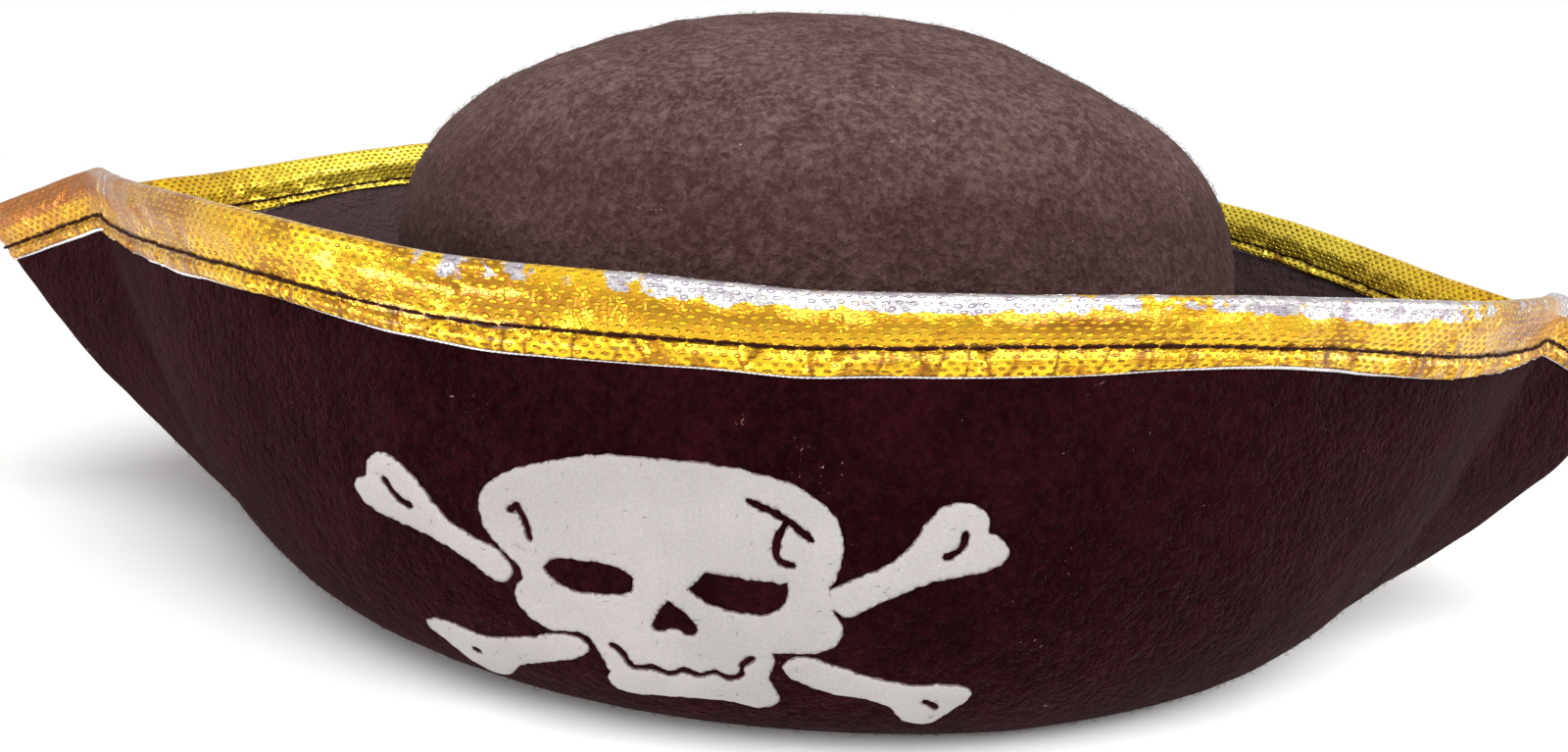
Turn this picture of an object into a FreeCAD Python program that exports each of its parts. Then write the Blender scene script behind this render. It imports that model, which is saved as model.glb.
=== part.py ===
"""Three-cornered felt pirate hat, as separate sewn, folded and printed pieces.

Millimetres. +Z is up, the printed front flap faces -Y and +X is on a viewer's right.
The origin is the centre of the head opening, on the plane that the hat rests on.
"""
import FreeCAD, Part
import math
import os
import Sketcher
from FreeCAD import Vector

# --------------------------------------------------------------------------------------
# Driving dimensions
# --------------------------------------------------------------------------------------
SIZES = {
    # felt and head opening
    "felt_thick": 2.0,
    "opening_radius": 93.2,
    "collar_height": 10.0,
    "inner_fold_radius": 2.6,
    "ring_radius": 102.0,
    # crown
    "crown_height": 128.5,
    "crown_side_height": 70.0,
    "shoulder_radius": 45.0,
    # the rolled foot of the flaps
    "roll_radius": 136.5,
    "roll_ease": 0.05,
    # the front flap's rim: a bowed curve from the centre to the side fold
    "front_reach": 119.0,
    "front_height": 71.6,
    "front_bow": 2.74,
    "front_swell": 1.7,
    # how softly the rim turns at its folds, and how far the hat leans to one side
    "rim_softness": 3.5,
    "side_lean": 0.008,
    "lean_end": 60.0,
    "lean_fade": 52.0,
    # the front's rim stands a little high to the right of its middle and low to the left
    "front_rise": 1.5,
    "front_rise_at": 68.0,
    "front_rise_width": 32.0,
    "front_dip": 1.9,
    "front_dip_at": -55.0,
    "front_dip_width": 22.0,
    # foil tape folded over the rim, with its white cloth backing
    "tape_leg": 12.2,
    # the outer leg is narrower right of the front's middle and wider at the front's corners
    "tape_front_end": -20.0,
    "tape_front_fade": 20.0,
    "tape_narrow": 2.2,
    "tape_narrow_at": 48.0,
    "tape_narrow_width": 45.0,
    "tape_corner_extra": 1.8,
    "tape_corner_start": 85.0,
    "tape_corner_reach": 60.0,
    "tape_inner_share": 0.88,
    "backing_thick": 0.25,
    "foil_thick": 0.25,
    "backing_show": 0.6,
    "tape_gap": 0.05,
    # threads
    "tape_thread_radius": 0.3,
    "band_thread_radius": 0.16,
    "tape_stitches": 252,
    "band_stitches": 144,
    "stitch_share": 0.825,
    "tape_stitch_inset": 3.8,
    "band_stitch_height": 7.0,
    # sweatband
    "band_thick": 0.8,
    "band_gap": 0.1,
    "band_foot": 2.0,
    "band_top": 34.0,
    # the print
    "print_thick": 0.3,
    "print_gap": 0.02,
    "print_offset": -17.0,
    "print_depth": 45.0,
    "print_reach": 60.0,
    "stroke_width": 1.0,
}

# Points of the right half of the rim: x, y, z, and the azimuth (degrees from the front)
# at which the felt below each point leaves the flat ring.
RIM_POINTS = {
    "front_fold": (157.0, -39.5, 78.6, 56.0),
    "side_tip": (191.0, -30.0, 65.6, 70.0),
    "side_fold": (169.0, 8.0, 75.6, 88.0),
    "side_pull": (160.0, 45.0, 79.0, 108.0),
    "rear_pull": (102.0, 112.0, 117.5, 140.0),
    "rear_fold": (26.0, 150.0, 80.6, 165.0),
    "rear_tip": (0.0, 190.0, 66.6, 180.0),
}
POINT_CELLS = ("x", "y", "z", "turn")

doc = FreeCAD.newDocument("pirate_hat")
sheet = doc.addObject("Spreadsheet::Sheet", "sizes")


def fill_sheet():
    """One row for each driving dimension: its name, its value and the value's alias."""
    values = dict(SIZES)
    for name, numbers in RIM_POINTS.items():
        for cell, number in zip(POINT_CELLS, numbers):
            values[f"{name}_{cell}"] = number
    for row, (name, value) in enumerate(values.items(), start=1):
        sheet.set(f"A{row}", name)
        sheet.set(f"B{row}", str(value))
        sheet.setAlias(f"B{row}", name)
    doc.recompute()


def size(name):
    return float(getattr(sheet, name))


def rim_point(name):
    """A named rim point and its azimuth on the flat ring."""
    x, y, z, turn = (size(f"{name}_{cell}") for cell in POINT_CELLS)
    return Vector(x, y, z), turn


# --------------------------------------------------------------------------------------
# The brim's shape: one closed rim, and a profile below each of its stations
# --------------------------------------------------------------------------------------
STATIONS = 240
SECTORS = 24
STRETCH_SAMPLES = 120
RIM_SAMPLES = 1440
PROFILE_SAMPLES = 48
FOLD_STEPS = 4


def mix(a, b, share):
    return a * (1 - share) + b * share


def clamp(share):
    return min(max(share, 0.0), 1.0)


def bell(offset, width):
    """A smooth bump, 1 at its middle."""
    return math.exp(-0.5 * (offset / width) ** 2)


def outward(turn):
    """Unit vector away from the axis, at an azimuth in degrees from the front."""
    angle = math.radians(turn)
    return Vector(math.sin(angle), -math.cos(angle), 0)


def front_rim(share):
    """The front flap's rim, from its centre (0) to the side fold (1)."""
    fold, turn = rim_point("front_fold")
    reach = size("front_reach")
    base = size("front_height")
    y = -reach + (reach + fold.y) * share ** size("front_bow")
    swell = size("front_swell") * 4 * share * (1 - share)
    z = base + (fold.z - base) * share ** 2 + swell
    return Vector(fold.x * share, y, z), turn * share


def straight_rim(start, end, share):
    (a, turn_a), (b, turn_b) = start, end
    return mix(a, b, share), mix(turn_a, turn_b, share)


def rear_rim(share):
    """The rear flap's rim: a cubic curve between its two folds."""
    names = ("side_fold", "side_pull", "rear_pull", "rear_fold")
    ends = [rim_point(name) for name in names]
    rest = 1 - share
    weights = (rest ** 3, 3 * rest ** 2 * share, 3 * rest * share ** 2, share ** 3)
    place = Vector()
    turn = 0.0
    for (point, azimuth), weight in zip(ends, weights):
        place += point * weight
        turn += azimuth * weight
    return place, turn


def half_rim(steps):
    """The right half of the rim, from the front centre to the rear tip."""
    fold, tip, side = (rim_point(n) for n in ("front_fold", "side_tip", "side_fold"))
    rear, back = rim_point("rear_fold"), rim_point("rear_tip")
    path = [front_rim(k / steps) for k in range(steps)]
    path += [straight_rim(fold, tip, k / steps) for k in range(steps)]
    path += [straight_rim(tip, side, k / steps) for k in range(steps)]
    path += [rear_rim(k / steps) for k in range(steps)]
    path += [straight_rim(rear, back, k / steps) for k in range(steps + 1)]
    return path


def resample(path, count):
    """Evenly spaced stations on a closed path of (point, turn) pairs."""
    lengths = [0.0]
    loop = path + [(path[0][0], path[0][1] + 360)]
    for (a, _), (b, _) in zip(loop, loop[1:]):
        lengths.append(lengths[-1] + a.distanceToPoint(b))
    stations = []
    piece = 0
    for k in range(count):
        target = lengths[-1] * k / count
        while lengths[piece + 1] < target:
            piece += 1
        share = (target - lengths[piece]) / (lengths[piece + 1] - lengths[piece])
        stations.append(straight_rim(loop[piece], loop[piece + 1], share))
    return stations, lengths[-1]


def soften(path, spacing, softness):
    """Rounds the folds of a closed path by averaging over its neighbours."""
    reach = int(3 * softness / spacing)
    offsets = range(-reach, reach + 1)
    weights = [bell(o * spacing, softness) for o in offsets]
    total = sum(weights)
    soft = []
    for k in range(len(path)):
        place = Vector()
        turn = 0.0
        for offset, weight in zip(offsets, weights):
            laps, index = divmod(k + offset, len(path))
            place += path[index][0] * weight
            turn += (path[index][1] + 360 * laps) * weight
        soft.append((place * (1 / total), turn / total))
    return soft


def uneven(place):
    """A rim point with the hat's lean to one side and the wave along its front."""
    front = clamp((size("lean_end") - place.y) / size("lean_fade"))
    rise = size("front_rise") * bell(place.x - size("front_rise_at"), size("front_rise_width"))
    dip = size("front_dip") * bell(place.x - size("front_dip_at"), size("front_dip_width"))
    return place + Vector(0, 0, front * (rise - dip - size("side_lean") * place.x))


def closed_rim():
    """The whole rim as evenly spaced (point, turn) stations, from the front centre."""
    right = half_rim(STRETCH_SAMPLES)
    mirror = [(Vector(-p.x, p.y, p.z), 360 - turn) for p, turn in right[1:-1]]
    path = right + mirror[::-1]
    path = [(uneven(p), turn) for p, turn in path]
    even, length = resample(path, RIM_SAMPLES)
    soft = soften(even, length / RIM_SAMPLES, size("rim_softness"))
    return resample(soft, STATIONS)[0]


def profile_controls(rim, turn):
    """The four control points of a flap's profile, from the flat ring up to the rim."""
    base = outward(turn) * size("ring_radius")
    roll = outward(turn) * size("roll_radius")
    ease = rim + (roll - rim) * size("roll_ease")
    return base, roll, ease, rim


def profile_point(controls, share):
    """A point of the flap's outer face, from the flat ring (0) up to the rim (1)."""
    base, roll, ease, rim = controls
    rest = 1 - share
    low = base * rest ** 3 + roll * (3 * rest ** 2 * share)
    return low + ease * (3 * rest * share ** 2) + rim * share ** 3


class Brim:
    """The flaps' outer face as a grid of points, read by distance below the rim."""

    def __init__(self):
        self.stations = closed_rim()
        self.controls = [profile_controls(rim, turn) for rim, turn in self.stations]
        shares = [k / PROFILE_SAMPLES for k in range(PROFILE_SAMPLES + 1)]
        self.grid = [[profile_point(c, s) for s in shares] for c in self.controls]
        self.depths = [self._depths(column) for column in self.grid]

    @staticmethod
    def _depths(column):
        depths = [0.0]
        for a, b in zip(column[::-1], column[-2::-1]):
            depths.append(depths[-1] + a.distanceToPoint(b))
        return depths[::-1]

    def normal(self, j, k):
        """Unit normal of the outer face at station j, sample k, away from the crown."""
        k = min(max(k, 1), PROFILE_SAMPLES - 1)
        across = self.grid[(j + 1) % STATIONS][k] - self.grid[j - 1][k]
        along = self.grid[j][k + 1] - self.grid[j][k - 1]
        return across.cross(along).normalize()

    def on_felt(self, j, depth, lift):
        """A point below the rim at station j, by a length along the felt, lifted off it."""
        depths = self.depths[j]
        k = 0
        while k < PROFILE_SAMPLES - 1 and depths[k + 1] > depth:
            k += 1
        share = (depths[k] - depth) / (depths[k] - depths[k + 1])
        place = mix(self.grid[j][k], self.grid[j][k + 1], share)
        normal = mix(self.normal(j, k), self.normal(j, k + 1), share)
        return place + normal.normalize() * lift

    def control_rings(self):
        """The four closed rings that control the flaps' outer face."""
        return [list(ring) for ring in zip(*self.controls)]

    def ring(self, depths, lift):
        """A closed ring at a length below the rim for each station."""
        return [self.on_felt(j, depth, lift) for j, depth in enumerate(depths)]

    def ring_by_share(self, share, lift):
        """A closed ring at one share of each profile's length, 0 at the flat ring."""
        return [self.on_felt(j, self.depths[j][0] * (1 - share), lift)
                for j in range(STATIONS)]

    def circle(self, radius, height):
        """A level circle with the rim's stations."""
        return [outward(t) * radius + Vector(0, 0, height) for _, t in self.stations]


# --------------------------------------------------------------------------------------
# Closed solids from rings
# --------------------------------------------------------------------------------------
def ring_curve(points):
    curve = Part.BSplineCurve()
    count = len(points)
    steps = [k / count for k in range(count + 1)]
    curve.interpolate(Points=points, PeriodicFlag=True, Parameters=steps)
    return curve


def skin(rings):
    """Faces on closed rings, one for each sector: straight between two rings, a cubic
    with four as its control rings, and smooth through more."""
    curves = [ring_curve(ring) for ring in rings]
    rows = [curve.getPoles() for curve in curves]
    around = curves[0]
    if len(rings) in (2, 4):
        columns = list(zip(*rows))
        knots, mults, degree = [0.0, 1.0], [len(rings)] * 2, len(rings) - 1
    else:
        steps = [k / (len(rings) - 1) for k in range(len(rings))]
        columns = []
        for column in zip(*rows):
            line = Part.BSplineCurve()
            line.interpolate(Points=list(column), Parameters=steps)
            columns.append(line.getPoles())
        knots, mults, degree = line.getKnots(), line.getMultiplicities(), line.Degree
    surface = Part.BSplineSurface()
    surface.buildFromPolesMultsKnots(
        [list(column) for column in columns],
        around.getMultiplicities(), mults,
        around.getKnots(), knots,
        True, False, around.Degree, degree)
    patches = []
    for k in range(SECTORS):
        patch = surface.copy()
        patch.segment(k / SECTORS, (k + 1) / SECTORS, 0.0, 1.0)
        patches.append(patch.toShape())
    return patches


def level_ring(rings):
    """One plane face between two level rings, the wider one first, with an edge for each
    sector."""
    wires = []
    for ring in rings:
        edges = []
        for k in range(SECTORS):
            piece = ring_curve(ring)
            piece.segment(k / SECTORS, (k + 1) / SECTORS)
            edges.append(piece.toShape())
        wires.append(Part.Wire(edges))
    return Part.makeFace(wires, "Part::FaceMakerBullseye")


def closed_solid(faces):
    shell = Part.makeShell(faces)
    shell.sewShape()
    solid = Part.makeSolid(shell)
    if solid.Volume < 0:
        solid.reverse()
    return solid


def loop_of_skins(sides, level_sides=()):
    """A solid tube whose section is a loop: each side is a list of rings, and one side's
    last ring is the next side's first."""
    faces = [face for side in sides for face in skin(side)]
    return closed_solid(faces + [level_ring(side) for side in level_sides])


def add_feature(label, shape):
    feature = doc.addObject("Part::Feature", label)
    feature.Label = label
    feature.Shape = shape
    feature.Placement = FreeCAD.Placement()
    return feature


# --------------------------------------------------------------------------------------
# Felt pieces
# --------------------------------------------------------------------------------------
FLAP_SHARES = (0.10, 0.20, 0.30, 0.42, 0.54, 0.66, 0.78, 0.90, 1.0)


def brim_foot(brim, inset):
    """Collar and inner fold at an inset into the felt, and the flat ring that follows."""
    edge = size("opening_radius") + inset
    fold = size("inner_fold_radius")
    bend = fold - inset
    centre = size("opening_radius") + fold
    turns = [math.pi / 2 * k / FOLD_STEPS for k in range(FOLD_STEPS + 1)]
    collar = [brim.circle(edge, size("collar_height")), brim.circle(edge, fold)]
    corner = [brim.circle(centre - bend * math.cos(a), fold - bend * math.sin(a))
              for a in turns]
    flat = [brim.circle(size("ring_radius"), inset), corner[-1]]
    return [collar, corner], flat


def add_brim(brim):
    """One piece of felt: collar inside the crown, flat ring and turned-up flaps."""
    thick = size("felt_thick")
    outside, under = brim_foot(brim, 0.0)
    outside.append(brim.control_rings())
    inside, over = brim_foot(brim, thick)
    inside.append(over[:1] + [brim.ring_by_share(s, -thick) for s in FLAP_SHARES])
    rim_edge = [outside[-1][-1], inside[-1][-1]]
    collar_edge = [outside[0][0], inside[0][0]]
    sides = outside + inside + [rim_edge, collar_edge]
    return add_feature("brim", loop_of_skins(sides, [under, over]))


def origin_plane(body, role):
    return next(f for f in body.Origin.OriginFeatures if f.Role == role)


def add_sketch(body, name):
    sketch = body.newObject("Sketcher::SketchObject", name)
    sketch.AttachmentSupport = [(origin_plane(body, "XZ_Plane"), "")]
    sketch.MapMode = "FlatFace"
    return sketch


def add_turned_body(label, sketch_maker):
    """A body turned about the hat's axis from one sketched section."""
    body = doc.addObject("PartDesign::Body", label)
    body.Label = label
    sketch = sketch_maker(body)
    doc.recompute()
    turning = body.newObject("PartDesign::Revolution", f"{label}_turn")
    turning.Profile = sketch
    turning.ReferenceAxis = (sketch, ["V_Axis"])
    turning.Angle = 360
    sketch.Visibility = False
    doc.recompute()
    return body


def crown_sketch(body):
    """Half section of the dome: straight side, shoulder arc and top arc, twice."""
    sketch = add_sketch(body, "crown_section")
    thick = size("felt_thick")
    foot = size("inner_fold_radius")
    side = size("crown_side_height")
    height = size("crown_height")
    outer = size("opening_radius") + 2 * thick
    shoulder = size("shoulder_radius")
    across = outer - shoulder
    drop = height - side
    top = (across ** 2 + drop ** 2 - shoulder ** 2) / (2 * (drop - shoulder))
    shoulder_centre = Vector(across, side, 0)
    top_centre = Vector(0, height - top, 0)
    lean = math.atan2(side - height + top, across)
    axis = Vector(0, 0, 1)

    def section(inset):
        """Side line, shoulder arc and top arc at an inset into the felt."""
        line = Part.LineSegment(Vector(outer - inset, foot, 0), Vector(outer - inset, side, 0))
        bend = Part.Circle(shoulder_centre, axis, shoulder - inset)
        dome = Part.Circle(top_centre, axis, top - inset)
        return [line, Part.ArcOfCircle(bend, 0, lean),
                Part.ArcOfCircle(dome, lean, math.pi / 2)]

    out_line, out_bend, out_dome = sketch.addGeometry(section(0.0), False)
    in_line, in_bend, in_dome = sketch.addGeometry(section(thick), False)
    crest = Part.LineSegment(Vector(0, height - thick, 0), Vector(0, height, 0))
    hem = Part.LineSegment(Vector(outer - thick, foot, 0), Vector(outer, foot, 0))
    crest, hem = sketch.addGeometry([crest, hem], False)
    link = sketch.addConstraint
    start, end, middle = 1, 2, 3
    make = Sketcher.Constraint
    for line, bend, dome in ((out_line, out_bend, out_dome), (in_line, in_bend, in_dome)):
        link(make("Tangent", line, end, bend, start))
        link(make("Tangent", bend, end, dome, start))
        link(make("Vertical", line))
    link(make("PointOnObject", out_dome, middle, -2))
    link(make("Coincident", in_bend, middle, out_bend, middle))
    link(make("Coincident", in_dome, middle, out_dome, middle))
    link(make("Coincident", crest, start, in_dome, end))
    link(make("Coincident", crest, end, out_dome, end))
    link(make("PointOnObject", out_dome, end, -2))
    link(make("PointOnObject", in_dome, end, -2))
    link(make("Coincident", hem, start, in_line, start))
    link(make("Coincident", hem, end, out_line, start))
    link(make("Horizontal", hem))
    drive(sketch, "DistanceX", (-1, 1, out_line, start), outer,
          "sizes.opening_radius + 2 * sizes.felt_thick")
    drive(sketch, "DistanceY", (-1, 1, out_line, start), foot, "sizes.inner_fold_radius")
    drive(sketch, "DistanceY", (-1, 1, out_line, end), side, "sizes.crown_side_height")
    drive(sketch, "DistanceY", (-1, 1, out_dome, end), height, "sizes.crown_height")
    drive(sketch, "Radius", (out_bend,), shoulder, "sizes.shoulder_radius")
    drive(sketch, "DistanceX", (hem, start, hem, end), thick, "sizes.felt_thick")
    return sketch


def drive(sketch, kind, places, value, expression):
    """A dimension of a sketch, bound to the sheet."""
    number = sketch.addConstraint(Sketcher.Constraint(kind, *places, value))
    sketch.setExpression(f"Constraints[{number}]", f"({expression}) * 1 mm")


def sweatband_sketch(body):
    """Half section of the ribbon that lines the foot of the crown."""
    sketch = add_sketch(body, "sweatband_section")
    outer = size("opening_radius") - size("band_gap")
    inner = outer - size("band_thick")
    foot, top = size("band_foot"), size("band_top")
    corners = [Vector(inner, foot, 0), Vector(outer, foot, 0),
               Vector(outer, top, 0), Vector(inner, top, 0)]
    sides = [Part.LineSegment(a, b) for a, b in zip(corners, corners[1:] + corners[:1])]
    low, right, high, left = sketch.addGeometry(sides, False)
    link = sketch.addConstraint
    for a, b in ((low, right), (right, high), (high, left), (left, low)):
        link(Sketcher.Constraint("Coincident", a, 2, b, 1))
    link(Sketcher.Constraint("Horizontal", low))
    link(Sketcher.Constraint("Horizontal", high))
    link(Sketcher.Constraint("Vertical", right))
    link(Sketcher.Constraint("Vertical", left))
    drive(sketch, "DistanceX", (-1, 1, low, 2), outer,
          "sizes.opening_radius - sizes.band_gap")
    drive(sketch, "DistanceX", (low, 1, low, 2), outer - inner, "sizes.band_thick")
    drive(sketch, "DistanceY", (-1, 1, low, 1), foot, "sizes.band_foot")
    drive(sketch, "DistanceY", (-1, 1, high, 1), top, "sizes.band_top")
    return sketch


# --------------------------------------------------------------------------------------
# Edge binding: foil tape on a cloth backing, folded over the rim
# --------------------------------------------------------------------------------------
LEG_SHARES = (1.0, 0.75, 0.5, 0.25)
TOP_ANGLES = (0, 36, 72, 108, 144, 180)


def tape_legs(brim):
    """The outer leg's length at each station."""
    legs = []
    for rim, _ in brim.stations:
        front = clamp((size("tape_front_end") - rim.y) / size("tape_front_fade"))
        corner = clamp((abs(rim.x) - size("tape_corner_start")) / size("tape_corner_reach"))
        narrow = bell(rim.x - size("tape_narrow_at"), size("tape_narrow_width"))
        change = size("tape_corner_extra") * corner - size("tape_narrow") * narrow
        legs.append(size("tape_leg") + front * change)
    return legs


def tape_face(brim, lift, show):
    """Rings of a face that goes up the outside, over the rim and down the inside."""
    thick = size("felt_thick")
    outside = [leg + show for leg in tape_legs(brim)]
    inside = [leg * size("tape_inner_share") for leg in outside]
    outer_leg = [brim.ring([leg * share for leg in outside], lift) for share in LEG_SHARES]
    inner_leg = [brim.ring([leg * share for leg in inside], -thick - lift)
                 for share in LEG_SHARES]
    over = []
    for angle in TOP_ANGLES:
        a = math.radians(angle)
        ring = []
        for j in range(STATIONS):
            rim = brim.grid[j][-1]
            normal = brim.normal(j, PROFILE_SAMPLES)
            rise = (rim - brim.on_felt(j, 1.0, 0.0)).normalize()
            middle = rim - normal * (thick / 2)
            radius = thick / 2 + lift
            ring.append(middle + normal * (radius * math.cos(a)) + rise * (radius * math.sin(a)))
        over.append(ring)
    return outer_leg + over + inner_leg[::-1]


def add_tape(label, brim, lift, thick, show):
    """One layer of the folded tape; show is how far it stands past the top layer."""
    near = tape_face(brim, lift, show)
    far = tape_face(brim, lift + thick, show)
    ends = [[near[0], far[0]], [near[-1], far[-1]]]
    return add_feature(label, loop_of_skins([near, far] + ends))


# --------------------------------------------------------------------------------------
# Threads: each visible stitch is a short straight length of thread
# --------------------------------------------------------------------------------------
def stitches(path, radius, count):
    """A number of separate stitches along a closed path of points."""
    lengths = [0.0]
    loop = path + path[:1]
    for a, b in zip(loop, loop[1:]):
        lengths.append(lengths[-1] + a.distanceToPoint(b))
    pitch = lengths[-1] / count

    def along(length):
        piece = max(k for k in range(len(path)) if lengths[k] <= length + 1e-9)
        part = (length - lengths[piece]) / (lengths[piece + 1] - lengths[piece])
        return mix(loop[piece], loop[piece + 1], part)

    pieces = []
    for k in range(count):
        a = along(k * pitch)
        b = along((k + size("stitch_share")) * pitch)
        reach = b - a
        pieces.append(Part.makeCylinder(radius, reach.Length, a, reach))
    return Part.makeCompound(pieces)


def even_circle(radius, height):
    """A level circle with evenly spaced points."""
    return [outward(360 * k / STATIONS) * radius + Vector(0, 0, height)
            for k in range(STATIONS)]


def add_threads(brim):
    tape_thread, band_thread = size("tape_thread_radius"), size("band_thread_radius")
    tape = size("tape_gap") + size("backing_thick") + size("foil_thick")
    depths = [leg - size("tape_stitch_inset") for leg in tape_legs(brim)]
    lift = tape + tape_thread
    height = size("band_stitch_height")
    outer = size("opening_radius") + 2 * size("felt_thick") + band_thread
    inner = size("opening_radius") - size("band_gap") - size("band_thick") - band_thread
    outside, inside = brim.ring(depths, lift), brim.ring(depths, -size("felt_thick") - lift)
    tape_count, band_count = int(size("tape_stitches")), int(size("band_stitches"))
    seams = {
        "binding_needle_thread": (outside, tape_thread, tape_count),
        "binding_bobbin_thread": (inside, tape_thread, tape_count),
        "sweatband_needle_thread": (even_circle(outer, height), band_thread, band_count),
        "sweatband_bobbin_thread": (even_circle(inner, height), band_thread, band_count),
    }
    return [add_feature(label, stitches(*seam)) for label, seam in seams.items()]


# --------------------------------------------------------------------------------------
# The print: skull and bones, drawn flat (x to the right, y up) and laid on the front flap
# --------------------------------------------------------------------------------------
# Each outline is a list of smooth stretches that meet at corners.
SKULL = [
    [(24, 3), (25.5, 7), (25.4, 11), (23.3, 14.8), (18.7, 17.9), (11.5, 19.7), (0, 20.4),
     (-10, 20), (-18.2, 18.2), (-25, 15.6), (-28.8, 12.2), (-28.8, 7.5), (-25.9, 3.7),
     (-22.5, 0.6), (-22, -0.8)],
    [(-22, -0.8), (-23.3, -3.5), (-21.2, -7.2), (-16.4, -8.9), (-12, -8.8), (-11, -9.4)],
    [(-11, -9.4), (-9.5, -12), (-8, -15)],
    [(-8, -15), (-8.4, -17), (-7, -18.8), (-1.3, -19.1), (5, -18.5), (12, -18.6),
     (16.5, -18.8), (18, -17.3), (17.2, -14.4), (16.4, -11.8), (16.9, -9.2), (16.5, -7.9)],
    [(16.5, -7.9), (20, -7.6), (24.6, -6.7), (26.6, -4.2), (25.6, -1.2), (24.8, 0)],
    [(24.8, 0), (27, -1.1), (29.2, 0), (34.5, 3), (41.6, 6), (47.5, 7.6), (49.6, 10.2),
     (48.6, 12.1), (46.5, 13.2)],
    [(46.5, 13.2), (46, 15.6), (42.6, 17.3), (38.4, 15.7), (36.2, 12.2), (33.5, 8.5),
     (28.6, 5.6), (24, 3)],
]
LEFT_EYE = [[(-18.6, 1.6), (-17.5, 2.8), (-12, 3.7), (-7, 3.3), (-4.7, 2)],
            [(-4.7, 2), (-4.8, 0.2), (-6.3, -0.7), (-12.4, -1.2), (-16.5, -0.3), (-18.6, 1.6)]]
RIGHT_EYE = [[(3.5, 1.5), (6.1, 4.2)], [(6.1, 4.2), (12, 3.8), (17.8, 3.6)],
             [(17.8, 3.6), (17.9, 0.8), (16.5, -0.9), (12.2, -1.7), (7, -0.7), (3.5, 1.5)]]
NOSE = [[(0.7, -0.8), (3.7, -2.8), (5.2, -5)],
        [(5.2, -5), (4.8, -5.8), (1.5, -5.2), (-0.6, -6), (-1.5, -5)],
        [(-1.5, -5), (-0.9, -3), (0.7, -0.8)]]
MOUTH = [(-7.7, -9.7), (-6.4, -10.4), (-5.4, -11.9), (-4, -13.1), (-1.5, -12.7), (1.3, -13.5),
         (3.3, -12.5), (6, -13.1), (8, -12.2), (10.3, -12.9), (12, -12.2), (12.3, -10.3),
         (13.5, -9.1)]
SMALL_CRACK = [(-22.9, 10.7), (-21.7, 8.6), (-20.8, 5.9)]
SMALL_CRACK_HEAD = [(-24.1, 10), (-22.8, 10.9)]
LARGE_CRACK = [(11.5, 15.4), (16.4, 13.4), (20.8, 10.4)]
CRACK_BRANCH = [(17, 12.6), (16, 10.2), (15.9, 8), (17, 6.8), (18.4, 6.4)]
UPPER_RIGHT_SLIT = [(40.6, 9.1), (42, 9.9), (42.9, 11.3), (43.1, 12.7)]
UPPER_LEFT = [
    [(-49, 11), (-49, 13), (-46.8, 15.2), (-42.7, 14.4), (-38.4, 10.9), (-34.7, 7.1),
     (-28.7, 4.1), (-24.3, 1.6), (-23.7, -1), (-25.3, -2.1), (-29.2, -0.6), (-38.3, 3.4),
     (-45.6, 5), (-50.6, 7.5), (-51.3, 9.4), (-50.3, 10.5), (-49, 11)],
]
UPPER_LEFT_SLIT = [(-45.4, 11.1), (-44, 9.4), (-40.8, 7.7)]
LOWER_LEFT = [
    [(-40.2, -13.3), (-37.3, -12.2), (-31, -13.1), (-25, -12.4), (-19, -10.4), (-15, -9.2),
     (-12.5, -9.8), (-11.3, -11.4), (-12.6, -13), (-20, -16.5), (-23.5, -18.6),
     (-25.5, -22), (-28.5, -23.8), (-31.5, -22.4), (-36.4, -17.4), (-39.5, -15)],
    [(-39.5, -15), (-40.2, -13.3)],
]
LOWER_LEFT_HOLE = [(-31.5, -17), (-30.7, -17.4)]
LOWER_RIGHT = [
    [(18, -10.4), (19.2, -8.7), (21, -8.2), (27, -9.8), (32, -11.1), (39.4, -12.3),
     (44.7, -12.1), (47, -13.2), (46.5, -15), (43.9, -18.4), (41, -21.4), (37.6, -20.8),
     (35.5, -17.9), (31.2, -15.6), (24, -14.2), (19.2, -12.1)],
    [(19.2, -12.1), (18, -10.4)],
]
LOWER_RIGHT_HOLE = [(40.2, -15.7), (41, -16.1), (41.9, -17)]

PATCH_STATIONS = range(-21, 16)
PATCH_DEPTHS = range(12, 84, 3)


def stroke(points, width):
    """The outline of a round-ended brush stroke of one width along a few points."""
    sides = ([], [])
    tips = []
    for k, (x, y) in enumerate(points):
        ax, ay = points[max(k - 1, 0)]
        bx, by = points[min(k + 1, len(points) - 1)]
        length = math.hypot(bx - ax, by - ay)
        dx, dy = (by - ay) / length * width / 2, (ax - bx) / length * width / 2
        sides[0].append((x + dx, y + dy))
        sides[1].insert(0, (x - dx, y - dy))
        tips.append(((x + dy, y - dx), (x - dy, y + dx)))
    return [sides[0], [sides[0][-1], tips[-1][1], sides[1][0]],
            sides[1], [sides[1][-1], tips[0][0], sides[0][0]]]


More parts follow.
